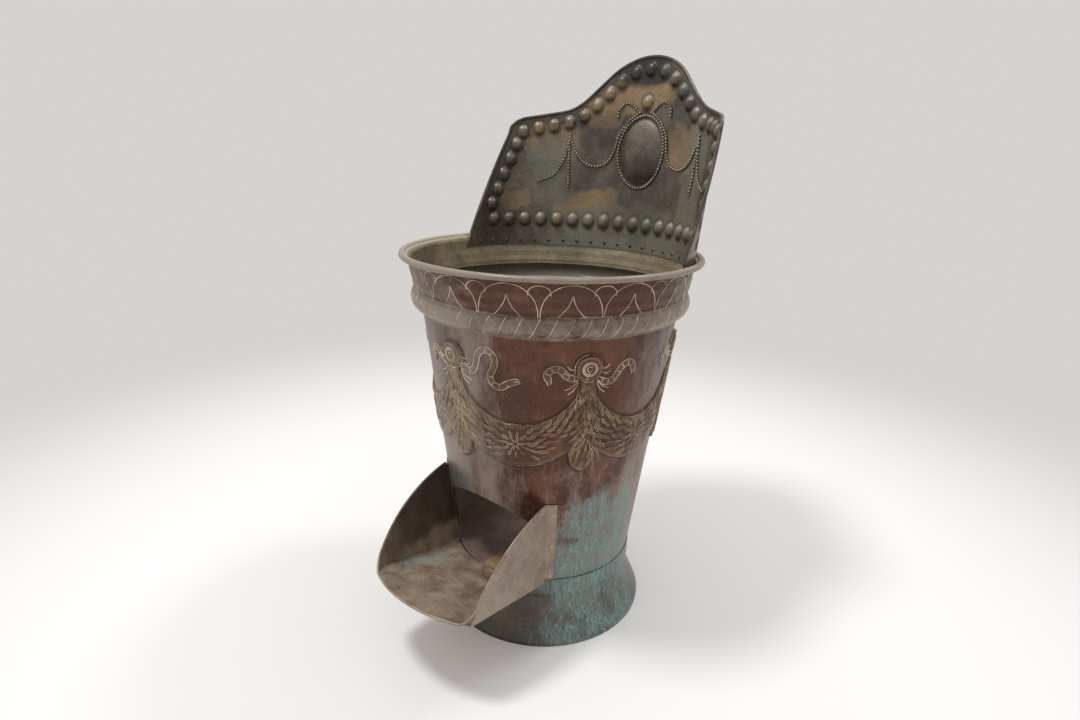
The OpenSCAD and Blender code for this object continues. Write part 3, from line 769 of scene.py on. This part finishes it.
def srgb(r, g, b):
    """A colour as it is read off a photograph, made linear."""
    return tuple((c / 255) / 12.92 if c <= 10 else ((c / 255 + 0.055) / 1.055) ** 2.4 for c in (r, g, b)) + (1.0,)


# %% The patina group
RUBBED, DIRT, PIT = srgb(140, 118, 92), srgb(40, 32, 27), srgb(38, 31, 26)
# dust with painted light on what faces up, and painted shade on what faces down
SETTLED_DUST_AND_TOP_LIGHT, PAINTED_UNDERSIDE_SHADE = srgb(164, 154, 136), srgb(32, 26, 22)
PALE_SPECK, DARK_SPECK = srgb(200, 190, 172), srgb(30, 25, 22)


def new_group(name, inputs, outputs):
    tree = bpy.data.node_groups.new(name, "ShaderNodeTree")
    for way, kinds in (("INPUT", inputs), ("OUTPUT", outputs)):
        for kind, titles in kinds.items():
            for title in titles:
                tree.interface.new_socket(title, in_out=way, socket_type="NodeSocket" + kind)
    return tree, Steps(tree), node(tree, "NodeGroupInput").outputs


def patina_group():
    """From the skin outwards: warm patches, dust, verdigris, then wear, pits, dust with painted top light on what
    faces up, painted shade on what faces down, and specks.
    """
    tree, step, given = new_group(
        "Copper patina",
        {"Vector": ["Place"], "Color": ["Skin", "Warm", "Dust", "Verdigris"],
         "Float": ["Warm amount", "Dust amount", "Verdigris amount", "Wear", "Streaks", "Bare metal", "Upward",
                   "Pitting"]},
        {"Color": ["Color"], "Float": ["Roughness", "Metal", "Height"]})
    where, dust, verdigris, wear, upward = (given[key] for key in ("Place", "Dust", "Verdigris", "Wear", "Upward"))
    flatten = step.minus(1.0, step.times(given["Streaks"], 0.88))
    stretch = step.node("CombineXYZ", {"X": 1.0, "Y": 1.0, "Z": flatten})[0]
    tall = step.vector("MULTIPLY", {0: where, 1: stretch})
    broad = step.noise(where, 8.0, 5.0, 0.6, 0.5)
    cloud = step.noise(where, 30.0, 8.0, 0.68, 0.4)
    grit = step.noise(where, 340.0, 4.0, 0.7)
    runs = step.noise(tall, 60.0, 7.0, 0.66, 0.3)
    hairs = step.noise(tall, 420.0, 3.0, 0.7)
    specks = step.noise(where, 800.0, 2.0, 0.5)
    warm = step.layer(step.mixed((broad, 0.8), (cloud, 0.2), (given["Warm amount"], 0.22)), 0.52, 0.62, 0.9)
    color = step.blend(warm, given["Skin"], given["Warm"])
    color = step.scaled(color, step.mapped(step.mixed((cloud, 0.6), (hairs, 0.4)), 0.3, 0.7, 0.66, 1.34))
    dusty = step.mixed((runs, 0.45), (cloud, 0.35), (hairs, 0.2), (given["Dust amount"], 0.24))
    dusty = step.layer(dusty, 0.47, 0.77, 0.9)
    color = step.blend(dusty, color, dust)
    cover = step.mixed((runs, 0.52), (hairs, 0.28), (cloud, 0.2), (given["Verdigris amount"], 0.24))
    cover = step.ramp(cover, 0.54, 0.76)
    color = step.blend(step.times(cover, 0.48), color, step.blend(0.45, dust, verdigris))
    spots = step.noise(tall, 330.0, 6.0, 0.85, 0.3)
    open_at = step.minus(0.63, step.times(cover, 0.17))
    green = step.times(step.layer(step.minus(spots, open_at), -0.01, 0.12, 0.8), step.ramp(cover, 0.0, 0.3))
    color = step.blend(green, color, step.scaled(verdigris, step.mapped(grit, 0.35, 0.7, 0.6, 1.7)))
    hollow = step.layer(step.times(wear, -1.0), 0.05, 0.9, 0.45)
    pits = step.times(step.layer(step.noise(where, 260.0, 3.0, 0.6), 0.55, 0.7, 0.36), given["Pitting"])
    # dust and painted top light where the metal faces up; further down, painted shade where it faces down
    dust_and_top_light = step.layer(upward, 0.1, 0.8, 0.6)
    for mask, tone in ((step.layer(wear, 0.05, 1.0, 0.4), RUBBED), (hollow, DIRT), (pits, PIT), (dust_and_top_light, SETTLED_DUST_AND_TOP_LIGHT),
                       (step.layer(step.times(upward, -1.0), 0.08, 0.75, 0.7), PAINTED_UNDERSIDE_SHADE),
                       (step.layer(specks, 0.7, 0.76, 0.6), PALE_SPECK),
                       (step.layer(step.minus(1.0, specks), 0.68, 0.76, 0.5), DARK_SPECK)):
        color = step.blend(mask, color, tone)
    rough = step.plus(step.mixed((cloud, 0.3), (dusty, 0.25), (green, 0.3), (hollow, 0.2)), 0.2, True)
    crust = step.math("MAXIMUM", step.math("MAXIMUM", green, dusty), dust_and_top_light)
    metal = step.times(given["Bare metal"], step.minus(1.0, crust), True)
    height = step.mixed((broad, 1.2), (cloud, 0.22), (green, 0.1), (grit, 0.05), (pits, -0.25))
    node(tree, "NodeGroupOutput", {"Color": color, "Roughness": rough, "Metal": metal, "Height": height})
    return tree


PATINA = patina_group()


# %% A mask for one side and one height
def zone_group():
    """1 near one bearing round the bin and between two heights, softly fading with a ragged edge."""
    tree, step, given = new_group(
        "Side and height", {"Vector": ["Place"], "Float": ["Bearing", "Reach", "Low", "High", "Fade"]},
        {"Float": ["Mask"]})
    where, reach, low, high, fade = (given[key] for key in ("Place", "Reach", "Low", "High", "Fade"))
    xyz = step.node("SeparateXYZ", {0: where})
    turn = step.math("RADIANS", given["Bearing"])
    flat = step.node("CombineXYZ", {"X": xyz["X"], "Y": xyz["Y"]})[0]
    back = step.times(step.math("COSINE", turn), -1.0)
    toward = step.node("CombineXYZ", {"X": step.math("SINE", turn), "Y": back})[0]
    unit = step.vector("NORMALIZE", {0: flat})
    dot = step.vector("DOT_PRODUCT", {0: unit, 1: toward}, "Value")
    off = step.times(step.math("ARCCOSINE", dot), PER_RADIAN)
    side = step.minus(1.0, step.ramp(off, step.times(reach, 0.4), reach))
    wander = step.minus(step.noise(where, 22.0, 5.0, 0.62), 0.5)
    z = step.plus(xyz["Z"], step.times(step.times(wander, 2.5), fade))
    above = step.ramp(z, step.minus(low, fade), low)
    below = step.minus(1.0, step.ramp(z, high, step.plus(high, fade)))
    node(tree, "NodeGroupOutput", {"Mask": step.times(side, step.times(above, below))})
    return tree


ZONE = zone_group()


def sum_of(step, where, first, zones):
    """first plus all zones. A zone is its weight, its bearing and reach to each side in degrees, and
    its lowest and highest place and the fade beyond them in metres."""
    total = first
    for weight, *limits in zones:
        inputs = dict(zip(("Place", "Bearing", "Reach", "Low", "High", "Fade"), (where, *limits)))
        mask = step.node("Group", inputs, node_tree=ZONE)["Mask"]
        total = step.plus(total, step.times(mask, weight))
    return total


# %% A sheet of aged copper
# dark stains, and the painted shade that the dark and inner zones lay on
STAIN_AND_PAINTED_SHADE = srgb(34, 27, 23)


def bare_tree(owner):
    """The emptied tree of a material or a surround."""
    owner.use_nodes = True
    owner.node_tree.nodes.clear()
    return owner.node_tree


def blank_material(name):
    material = bpy.data.materials.new(name)
    step = Steps(bare_tree(material))
    return material, step, step.node("TexCoord")["Object"]


def faces_inward(step, where):
    """1 where the metal faces the bin's axis."""
    normal = step.node("NewGeometry")["True Normal"]
    unit = step.vector("NORMALIZE", {0: step.vector("MULTIPLY", {0: where, 1: (1.0, 1.0, 0.0)})})
    dot = step.vector("DOT_PRODUCT", {0: unit, 1: normal}, "Value")
    return step.ramp(step.times(dot, -1.0), 0.1, 0.4)


def aged_copper(name, skin, warm, dust, verdigris, warm_at=0.0, dust_at=0.0, green_at=-1.0, warm_zones=(),
                dust_zones=(), green_zones=(), dark_zones=(), inner_shade_zones=(), inside=None, dents=0.0012,
                streaks=1.0, metal=0.85, facing_dust_and_shade=0.0, pitting=0.2, film=0.35):
    """inside gives another skin, warm tone and dust to the metal that faces the bin's axis, and the zones for the
    inner side paint shade on that side only. streaks is 1 for marks that run down and 0 for clouds, metal is the
    share of bare metal that still shines, the facing weight lays dust and painted top light on what faces up and
    painted shade on what faces down, and film is the clear skin of old wax and oxide that gives pale edges."""
    material, step, where = blank_material(name)
    tones = {"Skin": srgb(*skin), "Warm": srgb(*warm), "Dust": srgb(*dust), "Verdigris": srgb(*verdigris)}
    warm_sum, dust_sum, green_sum = (
        sum_of(step, where, first, zones)
        for first, zones in ((warm_at, warm_zones), (dust_at, dust_zones), (green_at, green_zones)))
    if inside:
        within = faces_inward(step, where)
        for key, tone in zip(("Skin", "Warm", "Dust"), inside):
            tones[key] = step.blend(within, tones[key], srgb(*tone))
        metal = step.times(step.minus(1.0, step.times(within, 0.8)), metal)
        green_sum = step.minus(green_sum, within)
        dust_sum = step.plus(dust_sum, step.times(within, 0.4))
        pitting = step.plus(step.times(within, 0.9), pitting)
    upward = 0.0
    if facing_dust_and_shade:
        normal = step.node("NewGeometry")["Normal"]
        upward = step.times(step.node("SeparateXYZ", {0: normal})["Z"], facing_dust_and_shade)
    patina = step.node("Group", {
        "Place": where, "Wear": step.node("Attribute", attribute_name="wear")["Fac"], **tones,
        "Warm amount": warm_sum, "Dust amount": dust_sum, "Verdigris amount": green_sum,
        "Streaks": streaks, "Bare metal": metal, "Upward": upward, "Pitting": pitting}, node_tree=PATINA)
    color = patina["Color"]
    # darkened towards dark stains, and towards painted shade where the zones lie on shaded places
    dark = sum_of(step, where, 0.0, dark_zones)
    # the inner zones paint shade on the side that faces the axis
    if inner_shade_zones:
        dark = step.plus(dark, step.times(within, sum_of(step, where, 0.0, inner_shade_zones)))
    if dark_zones or inner_shade_zones:
        color = step.blend(dark, color, STAIN_AND_PAINTED_SHADE)
    bump = step.node("Bump", {"Distance": dents, "Height": patina["Height"]})
    shader = step.node("BsdfPrincipled", {
        "Base Color": color, "Roughness": patina["Roughness"], "Metallic": patina["Metal"],
        "Normal": bump["Normal"], "Coat Weight": film, "Coat Roughness": 0.22})
    step.node("OutputMaterial", {"Surface": shader["BSDF"]})
    return material


# %% The coppers of the bin
GREEN = (112, 152, 149)
INSIDE = (158, 150, 132)
PALE_INSIDE = (224, 215, 194)
ALL_ROUND = (40, 400)
body_copper = aged_copper(
    "body copper", (78, 50, 38), (99, 64, 48), (144, 127, 117), GREEN, green_at=-0.4, inside=(PALE_INSIDE,) * 3,
    dust_at=-0.3, film=0.22, warm_zones=[(0.4, 60, 26, 0.33, 0.42, 0.03), (0.5, 42, 50, 0.2, 0.24, 0.03)],
    # the zones at bearings -14 and 122 are dust and a painted pale reflection on both flanks of the bin
    dust_zones=[(0.9, -14, 44, 0.0, 0.45, 0.12), (0.35, *ALL_ROUND, 0.0, 0.2, 0.14),
                (0.7, 122, 60, 0.0, 0.42, 0.05), (0.35, 72, 40, 0.08, 0.2, 0.08)],
    green_zones=[(1.3, 68, 44, 0.0, 0.15, 0.09), (0.45, 82, 34, 0.0, 0.24, 0.08), (0.4, 34, 36, 0.2, 0.235, 0.03),
                 (0.4, 52, 24, 0.0, 0.13, 0.05), (0.4, -14, 14, 0.2, 0.31, 0.04), (0.6, -22, 24, 0.12, 0.218, 0.014),
                 (0.4, 54, 10, 0.255, 0.3, 0.02), (0.6, 210, 80, 0.0, 0.2, 0.1)],
    # painted shade on the wall left of and above the mouth, and painted shade inside the bin, darker towards the
    # bottom
    dark_zones=[(0.6, -25, 30, 0.12, 0.22, 0.02)], inner_shade_zones=[(0.72, *ALL_ROUND, 0.0, 0.24, 0.2)])
foot_copper = aged_copper(
    "foot copper", (78, 70, 60), (102, 85, 68), (112, 108, 100), GREEN, green_at=-0.12, inside=(INSIDE,) * 3,
    green_zones=[(1.0, 78, 60, 0.0, 0.1, 0.02), (0.4, 50, 60, 0.07, 0.1, 0.006), (0.35, 40, 30, 0.0, 0.02, 0.02)],
    # painted shade on the front of the foot, under the tray
    dark_zones=[(0.45, 0, 60, 0.0, 0.1, 0.02)], metal=0.45)
rim_copper = aged_copper(
    "rim copper", (84, 54, 41), (102, 70, 53), (148, 136, 121), (122, 130, 116), green_at=-0.8, dust_at=-0.3,
    inside=((146, 132, 106), (104, 98, 80), (172, 160, 138)), metal=0.75, facing_dust_and_shade=0.25, streaks=0.4, film=0.22,
    dust_zones=[(1.25, *ALL_ROUND, 0.4985, 0.52, 0.002), (0.85, *ALL_ROUND, 0.43, 0.457, 0.003),
                # the zones at bearings -22 and 110 are dust and a painted pale sheen on both flanks of the collar
                (0.65, -22, 42, 0.43, 0.5, 0.02), (0.5, 110, 40, 0.43, 0.5, 0.02)],
    # the inner zone is painted shade in the hollow of the rope, seen from inside the rim
    green_zones=[(0.7, *ALL_ROUND, 0.499, 0.52, 0.002)], inner_shade_zones=[(0.8, *ALL_ROUND, 0.42, 0.455, 0.002)])
plate_copper = aged_copper(
    "plate copper", (112, 94, 88), (160, 130, 92), (136, 122, 112), GREEN, green_at=-0.6, dust_at=0.1, dents=0.003,
    streaks=0.0, metal=0.1, warm_at=-0.5, warm_zones=[(0.85, 10, 26, 0.0, 0.2, 0.05)], pitting=0.8)
iron = aged_copper("dull iron", (70, 66, 62), (86, 70, 58), (90, 84, 76), (80, 80, 76))

# %% The coppers of the panel and the tray
OCHRE = (150, 122, 84)
panel_copper = aged_copper(
    "panel copper", (112, 88, 74), (120, 96, 80), (140, 126, 114), (122, 132, 120), green_at=-0.5, warm_at=-0.5,
    dust_at=-0.2, dents=0.0014, inside=((86, 73, 65), OCHRE, (116, 114, 99)), streaks=0.15, metal=0.8, facing_dust_and_shade=1.0,
    film=0.2, dust_zones=[(0.8, 176, 60, 0.48, 0.53, 0.03), (0.7, 219, 16, 0.57, 0.625, 0.03),
                          (0.6, 142, 14, 0.55, 0.64, 0.04)],
    warm_zones=[(1.2, 178, 24, 0.692, 0.714, 0.02), (1.2, 195, 11, 0.672, 0.69, 0.02),
                (1.2, 222, 16, 0.622, 0.645, 0.025), (1.2, 236, 12, 0.555, 0.59, 0.03),
                (1.1, 202, 24, 0.535, 0.556, 0.025), (1.1, 187, 12, 0.518, 0.535, 0.02),
                (0.9, 153, 13, 0.625, 0.65, 0.03)],
    dark_zones=[(0.55, 194, 14, 0.635, 0.665, 0.03), (0.85, 180, 17, 0.724, 0.76, 0.015),
                (0.6, 173, 9, 0.592, 0.612, 0.02), (0.4, 178, 20, 0.53, 0.58, 0.04),
                (0.4, 157, 12, 0.66, 0.69, 0.03), (0.5, 246, 14, 0.5, 0.62, 0.04),
                (0.35, 205, 12, 0.575, 0.6, 0.03)])
edge_copper = aged_copper(
    "edge copper", (66, 62, 52), (84, 74, 60), (112, 114, 102), (110, 132, 122), green_at=-0.3, metal=0.5)
bead_copper = aged_copper(
    "rubbed beads", (140, 128, 108), (158, 142, 116), (150, 146, 128), GREEN, streaks=0.0, metal=0.4, facing_dust_and_shade=0.6)
tray_copper = aged_copper(
    "tray copper", (138, 116, 98), (132, 101, 82), (162, 149, 132), GREEN, green_at=-0.5, dust_at=0.35,
    streaks=0.3, metal=0.35, pitting=0.6, dust_zones=[(0.15, -8, 40, 0.09, 0.125, 0.01)],
    green_zones=[(0.9, -17, 9, 0.09, 0.106, 0.006), (0.45, -24, 10, 0.1, 0.114, 0.006),
                 (0.5, 42, 6, 0.09, 0.2, 0.02)],
    # painted shade on the inner face of the tray's left cheek
    dark_zones=[(0.72, -33, 17, 0.127, 0.3, 0.02)])
rivet_copper = aged_copper(
    "rubbed rivets", (168, 150, 128), (180, 160, 134), (188, 178, 160), GREEN, green_at=-0.6, streaks=0.0, metal=0.3)


# %% Pale chased lines
def pale_highlit_line(name, low, high):
    """Where the punch cut through the skin, or fingers rubbed it, the metal is pale, and the bright colour is also a
    painted highlight along each stroke.
    """
    material, step, where = blank_material(name)
    worn = step.ramp(step.noise(where, 60.0), 0.35, 0.65)
    color = step.blend(worn, srgb(*low), srgb(*high))
    shader = step.node("BsdfPrincipled", {"Base Color": color, "Roughness": 0.55, "Metallic": 0.2})
    step.node("OutputMaterial", {"Surface": shader["BSDF"]})
    return material


# pale for rubbed metal, and a painted highlight along each stroke and vein
chased = pale_highlit_line("chased line", (164, 146, 122), (224, 210, 186))
veined = pale_highlit_line("chased vein", (118, 96, 70), (204, 182, 148))
print("finishes:", len(bpy.data.materials))

# %% The finishes on the solids
FINISHED = ((body_copper, "body_wall"), (foot_copper, "neck_strap foot_skirt"), (plate_copper, "bottom_plate"),
            (rim_copper, "collar"), (iron, "rim_wire"), (edge_copper, "panel_rivets"), (rivet_copper, "tray_rivets"),
            (tray_copper, "tray tray_edge_roll"), (panel_copper, "back_panel panel_edge_roll"))
for material, names in FINISHED:
    for name in names.split():
        finishes = nodes[name].data.materials
        finishes.clear()
        finishes.append(material)
for piece, material in ((festoons, body_copper), (rope, rim_copper), (panel, panel_copper)):
    piece.data.materials.append(material)
print("finished solids:", len(nodes))

# %% [markdown]
# ## Wired edges
# The panel's edge and the tray's edge are rolled over a wire, and the solids have a plain
# many-sided roll there. It could be drawn again along each edge. That is done for the panel, whose
# line is already here, and the tray's roll is smoothed instead, since its line is only in the solid.

# %% The panel's wired edge
edge_line = [spin(-PANEL_TURN, "Z") @ Vector(p) for p in EDGE]
panel_bead = swept("panel_wired_edge", [edge_line], 2.3, 14, edge_copper)
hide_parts("panel_edge_roll")


# %% The tray's wired edge
def rounded_roll(name, roll):
    """The eight-sided roll of the solids, welded, made of quads again and smoothed to a round one."""
    mesh = nodes[roll].data.copy()
    b = bmesh.new()
    b.from_mesh(mesh)
    bmesh.ops.remove_doubles(b, verts=b.verts, dist=0.00001)
    bmesh.ops.join_triangles(b, faces=b.faces, angle_face_threshold=0.3, angle_shape_threshold=0.8)
    for face in b.faces:
        face.smooth = True
    b.to_mesh(mesh)
    b.free()
    source = add_object(name + "_source", mesh)
    source.modifiers.new("round", "SUBSURF").levels = 2
    piece = plain_mesh(name, source)
    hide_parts(roll)
    rides(piece)


rounded_roll("tray_wired_edge", "tray_edge_roll")

# %% [markdown]
# ## The chased lines
# The smith drew with a blunt chisel: slanting strokes on the rope, arches on the collar, outlines
# on the ribbons and veins on the leaves. Bump in a material could suggest them, but the photograph
# shows them as bright threads that catch the light, and they should stay when the meshes are used
# alone. So each stroke is a thin pale line just proud of the metal, and its pale colour is rubbed
# metal and a painted highlight too.

# %% Lines on the collar
ARCHES = 16
ARCH = 360 / ARCHES
ARCH_PHASE = 45.2


def wall_r(z):
    """Outer radius of the collar's wall above the rope."""
    return np.interp(z, [457, 462, 468, 475, 483, 494, 498.2], [176.5, 176.5, 178.1, 178.9, 180.9, 182.0, 184.2])


def on_collar(angle, z, proud=0.15):
    return place(angle, wall_r(z) + proud, z)


def collar_lines():
    """Round arches with a pointed one inside each, and a small round one between each two."""
    lines = []
    t = np.radians(np.linspace(0, 180, 23))
    small = np.radians(np.linspace(-16, 196, 13))
    u = np.linspace(0, 1, 8)
    for i in range(ARCHES):
        mid = ARCH_PHASE + i * ARCH
        lines.append(on_collar(mid + 10.9 * np.cos(t), 458 + 36 * np.sin(t) ** 0.9))
        lines.append(on_collar(mid + ARCH / 2 + 3.9 * np.cos(small), 484.5 + 8.5 * np.sin(small)))
        for side in (-1, 1):
            lines.append(on_collar(mid + side * (0.2 + 4.6 * u ** 1.8), 482 - 24 * u))
    return lines


def rope_lines():
    v = np.linspace(0.03, 0.97, 12)
    return [rope_point(i * 360 / ROPE_STRANDS + ROPE_LEAN * v, v, 0.35) for i in range(ROPE_STRANDS)]


swept("collar_chasing", collar_lines() + rope_lines(), 0.55, 6, chased)

# %% Strokes on the festoons
SPRIGS = ([(12, -15), (18, -23), (27, -27)], [(11, -17), (15, -26), (22, -32)],
          [(17, -6), (22, -8), (27, -5)], [(16, -1), (21, -1), (25, 3)])


def on_body(angle, z, proud=0.27):
    angle, z = np.broadcast_arrays(np.asarray(angle, float), np.asarray(z, float))
    return place(angle, body_r(z) + festoon_height(angle, z) + proud, z)


def leaf_strokes(s, z, length, turn):
    """Two bowed sides that meet at the tip, as lines of (across, height); the punch missed some."""
    q, c = sin_cos(turn)
    u = np.linspace(-0.5, 0.5, 6)
    bow = 0.17 * np.sqrt(np.maximum(0.5 - u, 0)) * (0.5 + u + 0.2)
    sides = [np.stack([s + length * (u * c - b * q), z + length * (u * q + b * c)], -1)
             for b in (1.6 * bow, -1.6 * bow)]
    return [side for side in sides if rng.random() < 0.8]


def ribbon_strokes(line, forked):
    """Both edges of a ribbon, the creases across it, and its cut end."""
    ahead = np.gradient(line, axis=0)
    ahead /= np.linalg.norm(ahead, axis=1)[:, None]
    across = np.stack([-ahead[:, 1], ahead[:, 0]], -1)
    half = 3.7 * np.minimum(1, np.linspace(0.5, len(line) / 5, len(line)))[:, None]
    strokes = [line + across * half, line - across * half]
    for i in range(3, len(line) - 2, 4):
        strokes.append(np.stack([line[i] - across[i] * half[i] * 0.75, line[i] + across[i] * half[i] * 0.75]))
    tip, way, side = line[-1], ahead[-1], across[-1]
    for k in (-1.0, 0.1, 1.1) if forked else (-0.8, 0.8):
        strokes.append(np.array([tip + side * k * 3.3, tip + side * k * 2.8 + way * 3,
                                 tip + side * (k * 2.0 - 1.2) + way * 6]))
    return strokes


def rosette_strokes():
    """Rings on the rosette, and sprigs that stand out on both sides."""
    strokes = []
    for radius, spread in ((ROSETTE_R - 0.3, 360), (8.4, 360), (6.6, 360), (3.2, 210)):
        t = np.radians(np.linspace(40, 40 + spread, 33))
        strokes.append(np.stack([radius * np.cos(t), radius * np.sin(t)], -1))
    for side in (-1, 1):
        strokes += [fair(sprig, 6) * [side, 1] for sprig in SPRIGS]
    return strokes


# %% Lines on the festoons
def beside_rosette(mid, p):
    return on_body(mid + np.degrees(p[:, 0] / body_r(p[:, 1])), p[:, 1])


def along_garland(mid, p):
    return on_body(mid + np.degrees(np.arcsin(p[:, 0] / body_r(p[:, 1]))), p[:, 1])


def festoon_lines():
    bold, fine = [], []
    t = np.linspace(-0.93, 0.93, 49)
    for i in range(COUNT):
        rosette = FIRST + i * STEP
        mid = rosette + STEP / 2
        strokes = rosette_strokes()
        for k, line in enumerate(ribbons_at(i)):
            strokes += ribbon_strokes(line, k == 0 and i % 2 == 0)
        bold += [beside_rosette(rosette, p + [0, HANG_Z]) for p in strokes]
        for leaf in DROP_LEAVES:
            fine += [beside_rosette(rosette, p) for p in leaf_strokes(*leaf)]
        for leaf in GARLAND_LEAVES:
            fine += [along_garland(mid, p) for p in leaf_strokes(*leaf)]
        for v in (0.015, 0.985):
            fine.append(along_garland(mid, np.array([in_garland(k, v)[0] for k in t])))
    return bold, fine


bold_lines, fine_lines = festoon_lines()
swept("festoon_chasing", bold_lines, 0.58, 6, chased)
swept("festoon_veins", fine_lines, 0.36, 4, veined)

# %% Beads on the panel
BEAD_PITCH, BEAD_R, BEAD_SEED = 4.4, 2.0, 3


def on_panel(b, z, proud=1.35):
    h = panel_height(b, z) + proud
    return behind(b, panel_r(z) - SHEET - h, z + h * PANEL_LEAN)


grown("panel_beading", [on_panel(*line.T) for line in STRINGS], BEAD_TREE, BEAD_KEYS,
      (BEAD_PITCH * MM, BEAD_R * MM, BEAD_SEED, bead_copper))

# %% [markdown]
# ## Floor and light
# The photograph stands the bin before pale paper. A curved backdrop would give that too, but from
# behind it would hide the bin. So a pale floor fades out into a pale surround, and nothing else
# draws the eye. The light is plain: an even surround, a large soft lamp on the left for the
# shadow, and a weaker one at the back right.

# %% The floor
FLOOR_R, FADE_FROM, FADE_TO = 3, 0.5, 1.5


def pale_floor():
    """White by the bin; farther off it fades out, so that no horizon shows."""
    bpy.ops.mesh.primitive_circle_add(vertices=96, radius=FLOOR_R, fill_type="NGON")
    floor = bpy.context.object
    floor.name = "floor"
    material, step, where = blank_material("floor")
    away = step.vector("LENGTH", {0: where}, "Value")
    paper = step.node("BsdfPrincipled", {"Base Color": srgb(242, 240, 239), "Roughness": 0.9})
    gone = step.node("BsdfTransparent")
    mix = step.node("MixShader", {0: step.ramp(away, FADE_FROM, FADE_TO), 1: paper[0], 2: gone[0]})
    step.node("OutputMaterial", {"Surface": mix[0]})
    floor.data.materials.append(material)


pale_floor()

# %% The surround and the lamps
LOOK_AT = Vector((0, 0, 0.35))


def surround():
    """A pale light all round, seen by the camera as a plainer grey."""
    world = bpy.data.worlds.new("surround")
    bpy.context.scene.world = world
    step = Steps(bare_tree(world))
    ray = step.node("LightPath")["Is Camera Ray"]
    lit = step.node("Background", {"Color": srgb(250, 248, 247), "Strength": 0.7})
    seen = step.node("Background", {"Color": srgb(214, 210, 207), "Strength": 1.0})
    mix = step.node("MixShader", {0: ray, 1: lit[0], 2: seen[0]})
    step.node("OutputWorld", {"Surface": mix[0]})


def soft_lamp(name, where, size, power):
    lamp = bpy.data.lights.new(name, "AREA")
    lamp.shape = "DISK"
    lamp.size = size
    lamp.energy = power
    holder = add_object(name, lamp)
    holder.location = where
    holder.rotation_euler = (LOOK_AT - Vector(where)).to_track_quat("-Z", "Y").to_euler()


surround()
soft_lamp("window on the left", (-0.65, -0.95, 3.2), 0.6, 46)
soft_lamp("lamp at the back right", (0.7, 1.3, 2.7), 0.5, 18)
bpy.context.scene.view_settings.view_transform = "Standard"
